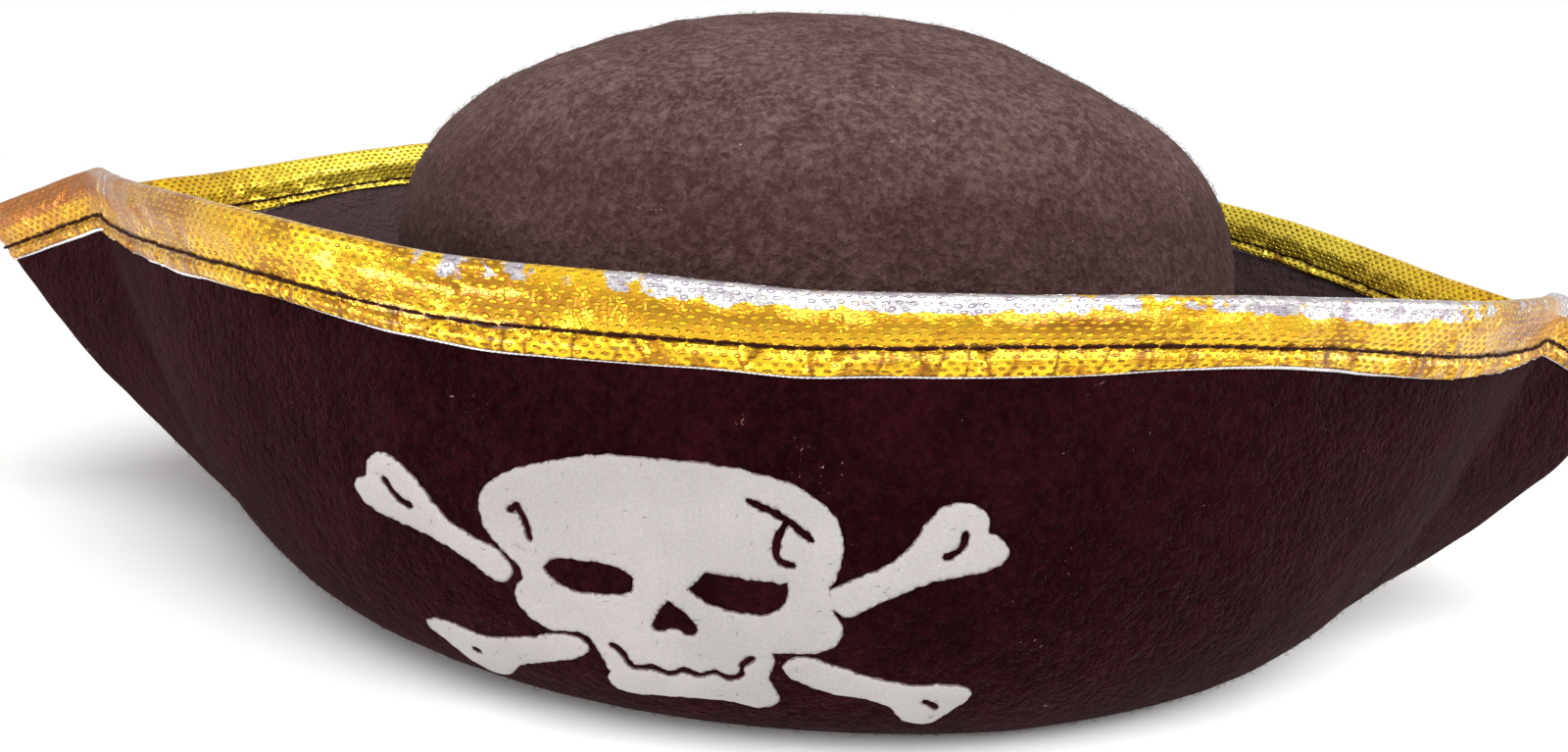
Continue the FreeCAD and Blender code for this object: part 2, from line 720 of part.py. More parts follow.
class Artwork:
    """Places flat artwork on the front flap, seen straight from the front."""

    def __init__(self, brim):
        self.column = brim.grid[0]
        self.depths = brim.depths[0]

    def place(self, x, y):
        """Artwork point to hat: y is a length along the felt, up from the print's centre."""
        depth = size("print_depth") - y
        k = max(k for k, d in enumerate(self.depths) if d >= depth)
        share = (self.depths[k] - depth) / (self.depths[k] - self.depths[k + 1])
        height = mix(self.column[k].z, self.column[k + 1].z, share)
        return Vector(x + size("print_offset"), -size("roll_radius"), height)

    def wire(self, stretches):
        edges = []
        for stretch in stretches:
            points = [self.place(x, y) for x, y in stretch]
            if len(points) == 2:
                edges.append(Part.LineSegment(*points).toShape())
            else:
                curve = Part.BSplineCurve()
                curve.interpolate(points)
                edges.append(curve.toShape())
        return Part.Wire(edges)

    def sheet(self, outline, holes):
        """A flat face with holes, in the upright plane in front of the hat."""
        holes = [Part.Face(self.wire(hole)) for hole in holes]
        return Part.Face(self.wire(outline)).cut(holes)


def smooth_patch(brim, lift):
    """The front flap's outer face under the print, at a lift off the felt."""
    grid = [[brim.on_felt(j, depth, lift) for depth in PATCH_DEPTHS] for j in PATCH_STATIONS]
    surface = Part.BSplineSurface()
    surface.interpolate(grid)
    return surface.toShape()


def add_print_layer(brim):
    """A thin curved slab that the prints are cut from."""
    near = smooth_patch(brim, size("print_gap"))
    far = smooth_patch(brim, size("print_gap") + size("print_thick"))
    sides = [Part.makeRuledSurface(a, b) for a, b in zip(near.Edges, far.Edges)]
    return add_feature("print_layer", closed_solid([near, far] + sides))


def add_print(label, artwork, layer, outline, holes):
    """One printed shape: its outline pushed back through the thin curved slab."""
    face = add_feature(f"{label}_outline", artwork.sheet(outline, holes))
    block = doc.addObject("Part::Extrusion", f"{label}_block")
    block.Base = face
    block.DirMode = "Custom"
    block.Dir = Vector(0, 1, 0)
    block.Solid = True
    block.setExpression("LengthFwd", "sizes.print_reach * 1 mm")
    piece = doc.addObject("Part::Common", label)
    piece.Label = label
    piece.Base = block
    piece.Tool = layer
    doc.recompute()
    return piece


def add_prints(brim):
    artwork = Artwork(brim)
    layer = add_print_layer(brim)
    width = size("stroke_width")

    def strokes(*lines):
        return [stroke(line, width) for line in lines]

    skull_holes = [LEFT_EYE, RIGHT_EYE, NOSE] + strokes(
        MOUTH, SMALL_CRACK, SMALL_CRACK_HEAD, LARGE_CRACK, CRACK_BRANCH, UPPER_RIGHT_SLIT)
    return [
        add_print("skull_print", artwork, layer, SKULL, skull_holes),
        add_print("bone_print_upper_left", artwork, layer, UPPER_LEFT,
                  strokes(UPPER_LEFT_SLIT)),
        add_print("bone_print_lower_left", artwork, layer, LOWER_LEFT,
                  strokes(LOWER_LEFT_HOLE)),
        add_print("bone_print_lower_right", artwork, layer, LOWER_RIGHT,
                  strokes(LOWER_RIGHT_HOLE)),
    ]


def check_and_export(parts):
    """Stops on any failed object, then writes one file for each sub-part."""
    doc.recompute()
    for item in doc.Objects:
        if "Invalid" in item.State or "Error" in item.State:
            raise RuntimeError(f"{item.Label} failed: {item.State}")
    os.makedirs("parts", exist_ok=True)
    for part in parts:
        shape = part.Shape
        if shape.isNull() or not shape.isValid():
            raise RuntimeError(f"{part.Label} has no valid shape")
        shape.exportStep(f"parts/{part.Label}.step")
        print(part.Label, len(shape.Solids), "solids", round(shape.Volume), "mm3")


def build():
    fill_sheet()
    brim = Brim()
    gap, backing, foil = size("tape_gap"), size("backing_thick"), size("foil_thick")
    parts = [
        add_turned_body("crown", crown_sketch),
        add_brim(brim),
        add_turned_body("sweatband", sweatband_sketch),
        add_tape("binding_backing", brim, gap, backing, size("backing_show")),
        add_tape("edge_binding", brim, gap + backing, foil, 0.0),
    ]
    parts += add_threads(brim)
    parts += add_prints(brim)
    check_and_export(parts)


build()
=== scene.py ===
import math

import bmesh
import bpy
import numpy as np
from mathutils import Matrix, Vector
from mathutils.bvhtree import BVHTree
from mathutils.geometry import delaunay_2d_cdt


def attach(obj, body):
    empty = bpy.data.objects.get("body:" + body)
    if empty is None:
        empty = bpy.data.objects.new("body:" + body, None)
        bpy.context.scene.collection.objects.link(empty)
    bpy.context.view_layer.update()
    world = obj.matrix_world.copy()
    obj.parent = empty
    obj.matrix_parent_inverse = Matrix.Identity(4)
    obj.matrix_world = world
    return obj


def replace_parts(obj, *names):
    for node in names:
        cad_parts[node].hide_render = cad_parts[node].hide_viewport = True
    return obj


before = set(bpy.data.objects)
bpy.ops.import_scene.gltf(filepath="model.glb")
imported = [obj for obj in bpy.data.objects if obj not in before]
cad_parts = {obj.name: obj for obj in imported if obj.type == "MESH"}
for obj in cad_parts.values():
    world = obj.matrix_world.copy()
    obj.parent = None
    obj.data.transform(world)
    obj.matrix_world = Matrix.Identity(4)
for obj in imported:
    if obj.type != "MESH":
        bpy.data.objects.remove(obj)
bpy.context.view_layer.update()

MM = 0.001

# ---- Driving dimensions ----
FELT_THICK = 2.0
OPENING_RADIUS = 93.2
COLLAR_HEIGHT = 10.0
INNER_FOLD_RADIUS = 2.6
RING_RADIUS = 102.0
CROWN_HEIGHT = 128.5
CROWN_SIDE_HEIGHT = 70.0
SHOULDER_RADIUS = 45.0
ROLL_RADIUS = 136.5
ROLL_EASE = 0.05
FRONT_REACH = 119.0
FRONT_HEIGHT = 71.6
FRONT_BOW = 2.74
FRONT_SWELL = 1.7
RIM_SOFTNESS = 3.5
SIDE_LEAN = 0.008
LEAN_END, LEAN_FADE = 60.0, 52.0
# Bulges: height, middle and width
FRONT_RISE, FRONT_DIP = (1.5, 68.0, 32.0), (1.9, -55.0, 22.0)
TAPE_NARROW = (2.2, 48.0, 45.0)
TAPE_LEG = 12.2
TAPE_FRONT_END, TAPE_FRONT_FADE = -20.0, 20.0
TAPE_CORNER_EXTRA, TAPE_CORNER_START, TAPE_CORNER_REACH = 1.8, 85.0, 60.0
TAPE_INNER_SHARE = 0.88
FOIL_THICK = 0.2
BACKING_THICK = 0.2
TAPE_STITCHES, BAND_STITCHES = 252, 144
STITCH_SHARE = 0.93
THREAD_RADIUS = 0.26
BAND_THREAD_RADIUS = 0.16
TAPE_STITCH_INSET = 3.8
BAND_STITCH_HEIGHT = 7.0
BAND_THICK = 0.8
BAND_GAP = 0.1
BAND_FOOT = 2.0
BAND_TOP = 34.0
PRINT_OFFSET = -17.0
PRINT_DEPTH = 45.0

# Right half of the rim: x, y, z and the azimuth where the felt below leaves the flat ring.
FRONT_FOLD = np.array((157.0, -39.5, 78.6, 56.0))
SIDE_TIP = np.array((191.0, -30.0, 65.6, 70.0))
SIDE_FOLD = np.array((169.0, 8.0, 75.6, 88.0))
SIDE_PULL = np.array((160.0, 45.0, 79.0, 108.0))
REAR_PULL = np.array((102.0, 112.0, 117.5, 140.0))
REAR_FOLD = np.array((26.0, 150.0, 80.6, 165.0))
REAR_TIP = np.array((0.0, 190.0, 66.6, 180.0))

STATIONS = 1800
STRETCH_SAMPLES = 120
RIM_SAMPLES = 1440
PROFILE_SAMPLES = 72
LAP = np.array((0, 0, 0, 360.0))
FLAP_LUMPS = ((0.28, 60, 11), (0.10, 13, 12))

# ---- Small helpers for shapes ----


def ripple(points, wavelength, seed, waves=20):
    """A smooth seeded random field of about unit size, read at points."""
    dice = np.random.default_rng(seed)
    heading = dice.normal(size=(waves, 3))
    heading /= np.linalg.norm(heading, axis=1)[:, None]
    pitch = 2 * math.pi / wavelength * dice.uniform(0.6, 1.5, waves)
    phase = dice.uniform(0, 2 * math.pi, waves)
    field = np.zeros(points.shape[:-1])
    for direction, number, start in zip(heading, pitch, phase):
        field += np.sin(points @ direction * number + start)
    return field / math.sqrt(waves / 2)


def ripples(points, layers):
    """Several ripples added up, each given as its height, wavelength and seed."""
    return sum(height * ripple(points, wavelength, seed) for height, wavelength, seed in layers)


def bell(x, width):
    return np.exp(-0.5 * (x / width) ** 2)


def bulge(x, height, middle, width):
    return height * bell(x - middle, width)


def ramp(x, reach):
    """Rises from 0 to 1 as x goes from 0 to reach."""
    return np.clip(x / reach, 0, 1)


def unit(vectors):
    return vectors / np.maximum(np.linalg.norm(vectors, axis=-1, keepdims=True), 1e-12)


def lengths_along(points):
    """Distances along a row of points, from its start."""
    return np.concatenate([[0], np.cumsum(np.linalg.norm(np.diff(points, axis=0), axis=1))])


def grid_normals(grid):
    across = np.roll(grid, -1, 0) - np.roll(grid, 1, 0)
    return unit(np.cross(across, np.gradient(grid, axis=1)))


def outward(turn):
    """Unit vectors away from the axis, at azimuths in degrees from the front."""
    angle = np.radians(turn)
    return np.stack([np.sin(angle), -np.cos(angle), np.zeros_like(angle)], -1)


def bezier(points, share):
    """Points of a cubic curve with four control points."""
    s = share[:, None]
    r = 1 - s
    a, b, c, d = points
    return a * r ** 3 + b * (3 * r ** 2 * s) + c * (3 * r * s ** 2) + d * s ** 3


# ---- The rim and the flaps below it ----
def half_rim():
    """The right half of the rim, from the front centre to the rear tip."""
    s = np.linspace(0, 1, STRETCH_SAMPLES, endpoint=False)

    def straight(start, end):
        return start + (end - start) * s[:, None]

    swell = FRONT_SWELL * 4 * s * (1 - s)
    front = np.stack([
        FRONT_FOLD[0] * s,
        -FRONT_REACH + (FRONT_REACH + FRONT_FOLD[1]) * s ** FRONT_BOW,
        FRONT_HEIGHT + (FRONT_FOLD[2] - FRONT_HEIGHT) * s ** 2 + swell,
        FRONT_FOLD[3] * s], 1)
    rear = bezier((SIDE_FOLD, SIDE_PULL, REAR_PULL, REAR_FOLD), s)
    return np.concatenate([
        front, straight(FRONT_FOLD, SIDE_TIP), straight(SIDE_TIP, SIDE_FOLD),
        rear, straight(REAR_FOLD, REAR_TIP), REAR_TIP[None]])


def resample(path, count):
    """Evenly spaced stations on a closed path, and its length."""
    loop = np.concatenate([path, path[:1] + LAP])
    lengths = lengths_along(loop[:, :3])
    targets = np.arange(count) * lengths[-1] / count
    return np.stack([np.interp(targets, lengths, column) for column in loop.T], 1), lengths[-1]


def soften(path, spacing):
    """Rounds the folds of a closed path by averaging over its neighbours."""
    reach = int(3 * RIM_SOFTNESS / spacing)
    weights = bell(np.arange(-reach, reach + 1) * spacing, RIM_SOFTNESS)
    weights /= weights.sum()
    loop = np.concatenate([path[-reach:] - LAP, path, path[:reach] + LAP])
    return np.stack([np.convolve(column, weights, "valid") for column in loop.T], 1)


def uneven(path):
    """How far the rim stands off its even shape: a lean and a wave along the front."""
    x = path[:, 0]
    wave = bulge(x, *FRONT_RISE) - bulge(x, *FRONT_DIP)
    return ramp(LEAN_END - path[:, 1], LEAN_FADE) * (wave - SIDE_LEAN * x)


def closed_rim():
    right = half_rim()
    left = right[-2:0:-1] * (-1, 1, 1, -1) + LAP
    path = np.concatenate([right, left])
    path[:, 2] += uneven(path)
    even, length = resample(path, RIM_SAMPLES)
    return resample(soften(even, length / RIM_SAMPLES), STATIONS)


class Flaps:
    """The flaps' outer face as a grid of points, read by distance below the rim."""

    def __init__(self):
        stations, self.length = closed_rim()
        self.along = np.arange(STATIONS) * self.length / STATIONS
        self.turn = stations[:, 3]
        rim = stations[:, :3]
        base = outward(self.turn) * RING_RADIUS
        roll = outward(self.turn) * ROLL_RADIUS
        ease = rim + (roll - rim) * ROLL_EASE
        s = np.linspace(0, 1, PROFILE_SAMPLES + 1)
        self.grid = bezier([place[:, None] for place in (base, roll, ease, rim)], s)
        self.normals = self.find_normals()
        lumps = ripples(self.grid, FLAP_LUMPS) * np.clip(s * 2.2, 0, 1)
        self.grid = self.grid + self.normals * lumps[..., None]
        self.normals = self.find_normals()
        steps = np.linalg.norm(np.diff(self.grid[:, ::-1], axis=1), axis=2)
        self.depths = np.concatenate([np.zeros((STATIONS, 1)), np.cumsum(steps, 1)], 1)

    def find_normals(self):
        normals = grid_normals(self.grid)
        normals[:, 0] = normals[:, 1]
        return normals

    def rows(self, depths, lifts):
        """Points at depths below the rim and lifts off the outer face, (STATIONS, k)."""
        depths = np.broadcast_to(depths, (STATIONS, np.shape(depths)[-1]))
        place = np.empty(depths.shape + (3,))
        normal = np.empty(depths.shape + (3,))
        for j in range(STATIONS):
            for found, known in ((place, self.grid), (normal, self.normals)):
                for axis in range(3):
                    found[j, :, axis] = np.interp(depths[j], self.depths[j], known[j, ::-1, axis])
        return place + unit(normal) * np.broadcast_to(lifts, depths.shape)[..., None]

    def over_rim(self, lifts, angles):
        """Rows that turn over the rim, from the outside (0) to the inside (pi)."""
        rim = self.grid[:, -1]
        normal = self.normals[:, -1]
        rise = unit(rim - self.rows(np.array([1.0]), np.array([0.0]))[:, 0])
        middle = rim - normal * (FELT_THICK / 2)
        radius = FELT_THICK / 2 + lifts
        return (middle[:, None] + normal[:, None] * (radius * np.cos(angles))[..., None]
                + rise[:, None] * (radius * np.sin(angles))[..., None])

    def circle(self, radius, height):
        ring = outward(self.turn) * radius
        ring[:, 2] = height
        return ring


# ---- Meshes from grids ----
def grid_faces(rows, columns, wrap_rows, wrap_columns):
    index = np.arange(rows * columns).reshape(rows, columns)
    if wrap_rows:
        index = np.concatenate([index, index[:1]])
    if wrap_columns:
        index = np.concatenate([index, index[:, :1]], 1)
    quads = np.stack([index[:-1, :-1], index[1:, :-1], index[1:, 1:], index[:-1, 1:]], -1)
    return quads.reshape(-1, 4)


def tube_faces(rings, sides, count):
    """Faces of many equal tubes with open ends."""
    pattern = grid_faces(rings, sides, False, True)
    starts = np.arange(count)[:, None, None] * rings * sides
    return (pattern + starts).reshape(-1, 4).tolist()


def add_object(name, data):
    made = bpy.data.objects.new(name, data)
    bpy.context.scene.collection.objects.link(made)
    return made


def link_piece(name, mesh, material):
    """A smooth piece that rides with the hat."""
    mesh.shade_smooth()
    mesh.materials.append(material)
    piece = add_object(name, mesh)
    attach(piece, "root")
    return piece


def add_piece(name, vertices, faces, material):
    """A piece from vertices in millimetres."""
    mesh = bpy.data.meshes.new(name)
    mesh.from_pydata((np.asarray(vertices) * MM).tolist(), [], [list(f) for f in faces])
    piece = link_piece(name, mesh, material)
    return piece


def recalculate_normals(piece):
    work = bmesh.new()
    work.from_mesh(piece.data)
    bmesh.ops.recalc_face_normals(work, faces=work.faces)
    work.to_mesh(piece.data)
    work.free()


def add_grid_piece(name, grid, wrap, material):
    rows, columns = grid.shape[:2]
    faces = grid_faces(rows, columns, *wrap).tolist()
    piece = add_piece(name, grid.reshape(-1, 3), faces, material)
    recalculate_normals(piece)
    return piece


def add_uv(piece, name, places, lap):
    """UVs from places in millimetres, on a piece of quads that wraps along its rows."""
    rows, columns = places.shape[:2]
    corners = np.empty(len(piece.data.loops), np.int32)
    piece.data.loops.foreach_get("vertex_index", corners)
    row = (corners // columns).reshape(-1, 4)
    values = places.reshape(-1, 2)[corners].reshape(-1, 4, 2)
    values[(row == 0) & (row.max(1, keepdims=True) == rows - 1), 0] += lap
    layer = piece.data.uv_layers.new(name=name)
    layer.data.foreach_set("uv", (values * MM).astype(np.float32).ravel())


def add_values(piece, name, values):
    """One number for each vertex, for a material to read."""
    layer = piece.data.attributes.new(name, "FLOAT", "POINT")
    layer.data.foreach_set("value", np.asarray(values, np.float32).ravel())


# ---- Materials ----
# The foil's pattern, in millimetres along and across the flat tape
DIMPLE_PITCH, DIMPLE_LONG = 2.1, 0.55
DIMPLE_ROW, DIMPLE_HIGH = 1.1, 0.30
FOLD_HALF = 2.3
SEAM_ACROSS = TAPE_LEG - TAPE_STITCH_INSET + FOLD_HALF

# An even number of dimple rows, added so that the rows are counted from above zero
EVEN_ROWS = 1000.0

GOLD, DEEP_GOLD, HIGHLIGHT_GOLD = (0.96, 0.63, 0.020), (0.84, 0.44, 0.012), (1.0, 0.82, 0.08)
AMBER, COPPER, CREASE_SHADE = (0.20, 0.052, 0.003), (0.36, 0.125, 0.022), (0.25, 0.07, 0.004)
HIGHLIGHT_SILVER, DULL_HIGHLIGHT_SILVER, GROOVE_SHADE = (0.66, 0.635, 0.61), (0.36, 0.32, 0.37), (0.050, 0.008, 0.003)
THREAD_DEEP, THREAD_PALE = (0.012, 0.0015, 0.0010), (0.040, 0.007, 0.004)
PRINT_DEEP, PRINT_PALE, PRINT_EDGE = (
    (0.275, 0.260, 0.252), (0.370, 0.350, 0.338), (0.09, 0.060, 0.058))
FLOOR_DEEP, FLOOR_PALE = (0.965, 0.965, 0.965), (0.985, 0.985, 0.985)

# Layers of the felt's noise: scale, roughness, distortion, the values between which it shows
# and the height and strength of its bumps. The weights of the first and third are given with
# each felt; the others have their own here.
FELT_LAYERS = (
    (55, 0.55, 0.0, 0.34, 0.66, 0, 0), (250, 0.60, 0.3, 0.36, 0.64, 0.0016, 0.6),
    (640, 0.60, 0.4, 0.38, 0.66, 0.0011, 0.9), (1500, 0.65, 0.8, 0.40, 0.68, 0.0004, 0.9))
CLUMP_WEIGHT, FIBRE_WEIGHT = 0.18, 0.30


class Shader:
    """A node material in the making; methods add one node and return an output."""

    def __init__(self, name, **sockets):
        self.material = bpy.data.materials.new(name)
        self.material.use_nodes = True
        self.tree = self.material.node_tree
        self.surface = self.tree.nodes["Principled BSDF"]
        for socket, value in sockets.items():
            self.surface.inputs[socket.replace("_", " ")].default_value = value

    def node(self, kind, inputs=(), **settings):
        made = self.tree.nodes.new(kind)
        for setting, value in settings.items():
            setattr(made, setting, value)
        for socket, value in dict(inputs).items():
            if isinstance(value, bpy.types.NodeSocket):
                self.tree.links.new(value, made.inputs[socket])
            else:
                made.inputs[socket].default_value = value
        return made

    def place(self):
        return self.node("ShaderNodeTexCoord").outputs["Object"]

    def noise(self, scale, detail=3.0, vector=None, roughness=0.55, distortion=0.0):
        made = self.node("ShaderNodeTexNoise", {
            "Vector": vector or self.place(), "Scale": scale, "Detail": detail,
            "Roughness": roughness, "Distortion": distortion})
        return made.outputs["Fac"]

    def math(self, operation, first, second=0.0):
        made = self.node("ShaderNodeMath", {0: first, 1: second}, operation=operation)
        return made.outputs[0]

    def times(self, first, second):
        return self.math("MULTIPLY", first, second)

    def plus(self, first, second):
        return self.math("ADD", first, second)

    def minus(self, first, second):
        return self.math("SUBTRACT", first, second)

    def apart(self, first, second):
        """How far apart two values are, without a sign."""
        return self.math("ABSOLUTE", self.minus(first, second))

    def vector(self, operation, first, second):
        made = self.node("ShaderNodeVectorMath", {0: first, 1: second}, operation=operation)
        return made.outputs[0]

    def span(self, value, low, high, bottom=0.0, top=1.0):
        """value from low..high to bottom..top, smoothly and clamped."""
        made = self.node("ShaderNodeMapRange", {
            "Value": value, "From Min": low, "From Max": high, "To Min": bottom,
            "To Max": top}, interpolation_type="SMOOTHSTEP")
        return made.outputs["Result"]

    def blend(self, share, first, second):
        """A colour between two, at a share of the second."""
        made = self.node("ShaderNodeMix", data_type="RGBA")
        for socket, value in (("Factor_Float", share), ("A_Color", first), ("B_Color", second)):
            target = next(i for i in made.inputs if i.identifier == socket)
            if isinstance(value, bpy.types.NodeSocket):
                self.tree.links.new(value, target)
            else:
                target.default_value = (*value, 1.0) if isinstance(value, tuple) else value
        return next(o for o in made.outputs if o.identifier == "Result_Color")

    def dots(self, place, pitch, row_height, long, high):
        """Staggered oval dots, 1 at their middles; sizes in millimetres, place in metres."""
        parts = self.node("ShaderNodeSeparateXYZ", {"Vector": place}).outputs
        up = self.plus(self.math("DIVIDE", parts["Y"], row_height * MM), EVEN_ROWS)
        odd = self.math("MODULO", self.math("FLOOR", up), 2.0)
        along = self.plus(self.math("DIVIDE", parts["X"], pitch * MM), self.times(odd, 0.5))
        squares = []
        for value, ratio in ((along, pitch / long), (up, row_height / high)):
            off = self.times(self.minus(self.math("FRACT", value), 0.5), ratio)
            squares.append(self.math("POWER", off, 2.0))
        return self.span(self.plus(*squares), 0.35, 1.5, 1.0, 0.0)

    def attribute(self, name):
        return self.node("ShaderNodeAttribute", attribute_name=name).outputs["Fac"]

    def bump(self, height, distance, strength=1.0, below=None):
        inputs = {"Height": height, "Distance": distance, "Strength": strength}
        if below:
            inputs["Normal"] = below
        return self.node("ShaderNodeBump", inputs).outputs["Normal"]

    def connect(self, **sockets):
        for socket, value in sockets.items():
            self.tree.links.new(value, self.surface.inputs[socket.replace("_", " ")])
        return self.material


def felt_material(name, deep, pale, lint, painted_light_and_shade, cloudy, grain, sheen, sheen_tint):
    """Pressed felt: clouds of tone, a matted grain of curled fibres and a little pale lint.
    painted_light_and_shade is a colour painted in where the attribute of that name asks: painted
    shade on the crown, painted light on the brim's inner face; cloudy and grain are how strongly
    each of them shows."""
    shader = Shader(name, Roughness=1.0, Specular_IOR_Level=0.03, Sheen_Weight=sheen,
                    Sheen_Roughness=0.3, Sheen_Tint=(*sheen_tint, 1.0))
    tone, bumps = 0.0, None
    for layer, weight in zip(FELT_LAYERS, (cloudy, CLUMP_WEIGHT, grain, FIBRE_WEIGHT)):
        scale, roughness, distortion, low, high, rise, strength = layer
        noise = shader.noise(scale, 3, roughness=roughness, distortion=distortion)
        tone = shader.plus(shader.times(shader.span(noise, low, high), weight), tone)
        if strength:
            bumps = shader.bump(noise, rise, strength, bumps)
    colour = shader.blend(shader.math("POWER", tone, 1.35), deep, pale)
    # Painted light and shade: blends towards a dark tone on the crown's lower part (painted shade)
    # and a pale tone on the brim's inner face (painted light).
    colour = shader.blend(shader.attribute("painted_light_and_shade"), colour, painted_light_and_shade)
    speck = shader.span(shader.noise(820, 2, roughness=0.4, distortion=2.5), 0.72, 0.77)
    rare = shader.span(shader.noise(95, 2), 0.58, 0.66)
    colour = shader.blend(shader.times(speck, rare), colour, lint)
    return shader.connect(Base_Color=colour, Normal=bumps)


def foil_material():
    """Gold foil pressed over a coarse cloth: staggered dimples, amber where they run
    together or the foil is rubbed and partly painted shade in their hollows, coppery near the folds,
    a painted highlight along the top fold, a paler painted highlight on the rear tape, and painted
    shade in the creases below the seam and in the needle groove."""
    shader = Shader("gold_foil", Metallic=0.80, Specular_IOR_Level=0.5, Coat_Weight=0.16,
                    Coat_Roughness=0.12)
    flat = shader.node("ShaderNodeUVMap", uv_map="tape").outputs["UV"]
    wobble = shader.node("ShaderNodeTexNoise", {"Vector": flat, "Scale": 190.0, "Detail": 2.0})
    drift = shader.vector("SUBTRACT", wobble.outputs["Color"], (0.5, 0.5, 0.5))
    place = shader.vector("ADD", flat, shader.vector("MULTIPLY", drift, (0.0016, 0.0016, 0.0016)))
    dimple = shader.dots(place, DIMPLE_PITCH, DIMPLE_ROW, DIMPLE_LONG, DIMPLE_HIGH)
    broad, fine = shader.noise(62, 3, flat), shader.noise(420, 3, flat)
    mixed = shader.plus(shader.times(broad, 0.7), shader.times(fine, 0.3))

    # Painted highlight: the rear tape's inner face is made pale gold and loses its amber.
    painted_rear_highlight = shader.attribute("painted_rear_highlight")
    dull = shader.times(shader.span(mixed, 0.50, 0.58), 0.75)
    dull = shader.math("MAXIMUM", dull, shader.attribute("dull"))
    dull = shader.times(dull, shader.minus(1.0, painted_rear_highlight))
    # The dimples' amber is partly the foil's own tone and partly painted shade in their embossed
    # hollows.
    dimple_shade = shader.times(dimple, shader.span(broad, 0.35, 0.6, 0.45, 0.95))
    gold = shader.blend(shader.span(fine, 0.3, 0.7), GOLD, DEEP_GOLD)
    gold = shader.blend(painted_rear_highlight, gold, HIGHLIGHT_GOLD)
    colour = shader.blend(shader.apart(dull, dimple_shade), gold, AMBER)
    copper = shader.times(shader.attribute("copper"), shader.span(mixed, 0.22, 0.46))
    colour = shader.blend(copper, colour, COPPER)
    # Painted highlight: a broken white-silver band along the top fold stands in for a reflection of
    # the light above.
    highlight_breaks = shader.minus(shader.noise(260, 4, flat, roughness=0.62), 0.5)
    highlight_amount = shader.plus(shader.attribute("painted_top_highlight"), shader.times(highlight_breaks, 1.9))
    highlight_colour = shader.blend(shader.span(fine, 0.38, 0.62), HIGHLIGHT_SILVER, DULL_HIGHLIGHT_SILVER)
    colour = shader.blend(shader.span(highlight_amount, 0.46, 0.58), colour, highlight_colour)

    across = shader.node("ShaderNodeSeparateXYZ", {"Vector": place}).outputs["Y"]
    past_seam = shader.minus(shader.math("ABSOLUTE", across), SEAM_ACROSS * MM)
    waver = shader.noise(150, 1.5, shader.vector("MULTIPLY", flat, (1.0, 0.22, 1.0)))
    # Painted shade: dark brown lines in the wavy creases below the seam, where the puckered foil
    # folds.
    crease_shade = shader.span(shader.apart(waver, 0.5), 0.004, 0.034, 0.75, 0.0)
    crease_shade = shader.times(crease_shade, shader.span(past_seam, -0.0006, 0.0004))
    colour = shader.blend(crease_shade, colour, CREASE_SHADE)
    # Painted shade: a dark line along the needle groove of the seam.
    groove_shade = shader.span(shader.math("ABSOLUTE", past_seam), 0.00012, 0.00058, 0.92, 0.0)
    colour = shader.blend(groove_shade, colour, GROOVE_SHADE)

    crumple = shader.bump(shader.noise(340, 3, flat, distortion=0.6), 0.0007, 0.45)
    puffs = shader.times(shader.span(waver, 0.40, 0.60), shader.span(past_seam, -0.0005, 0.0006))
    puckered = shader.bump(puffs, 0.0013, 0.6, crumple)
    return shader.connect(
        Base_Color=colour, Roughness=shader.span(fine, 0.3, 0.75, 0.20, 0.38),
        Normal=shader.bump(shader.minus(1.0, dimple), 0.00045, 0.85, puckered))


def cloth_material(name, warp, weft, scale, roughness):
    """Fine plain weave from two crossed sets of ribs."""
    shader = Shader(name, Sheen_Weight=0.2, Specular_IOR_Level=0.25)
    place = shader.place()
    parts = shader.node("ShaderNodeSeparateXYZ", {"Vector": place}).outputs
    angle = shader.math("ARCTAN2", parts["X"], parts["Y"])
    ribs = shader.math("SINE", shader.times(angle, scale))
    rows = shader.math("SINE", shader.times(parts["Z"], scale * 10.5))
    weave = shader.times(ribs, rows)
    tone = shader.span(shader.plus(weave, shader.times(shader.noise(210, 3, place), 0.9)), -0.6, 1.5)
    return shader.connect(
        Base_Color=shader.blend(tone, warp, weft),
        Roughness=shader.span(weave, -1.0, 1.0, roughness, roughness + 0.12),
        Normal=shader.bump(weave, 0.00018, 0.8))


def thread_material():
    """Twisted dark thread: two plies, with a little stray fibre."""
    shader = Shader("dark_thread", Specular_IOR_Level=0.06, Sheen_Weight=0.02)
    fibres = shader.noise(2600, 3)
    plies = shader.node("ShaderNodeTexWave", {
        "Vector": shader.place(), "Scale": 900.0, "Distortion": 3.0, "Detail": 2.0},
        bands_direction="DIAGONAL").outputs["Fac"]
    return shader.connect(
        Base_Color=shader.blend(shader.times(fibres, plies), THREAD_DEEP, THREAD_PALE),
        Roughness=shader.span(fibres, 0.3, 0.7, 0.55, 0.8),
        Normal=shader.bump(plies, 0.0001, 0.8))


def print_material():
    """Flocked off-white print: a fine nap, faint stains and a soft dark edge."""
    shader = Shader("print_white", Sheen_Weight=0.35, Sheen_Roughness=0.4,
                    Specular_IOR_Level=0.15)
    nap, cloud = shader.noise(2100, 3, roughness=0.7), shader.noise(46, 3)
    tone = shader.plus(shader.times(shader.span(nap, 0.3, 0.75), 0.5),
                       shader.times(shader.span(cloud, 0.3, 0.7), 0.5))
    scuffed = shader.plus(shader.attribute("edge"), shader.times(shader.minus(nap, 0.5), 0.9))
    colour = shader.blend(tone, PRINT_DEEP, PRINT_PALE)
    return shader.connect(
        Base_Color=shader.blend(shader.span(scuffed, 0.50, 1.0), colour, PRINT_EDGE),
        Roughness=shader.span(nap, 0.3, 0.7, 0.8, 0.95),
        Normal=shader.bump(nap, 0.00025, 0.6))


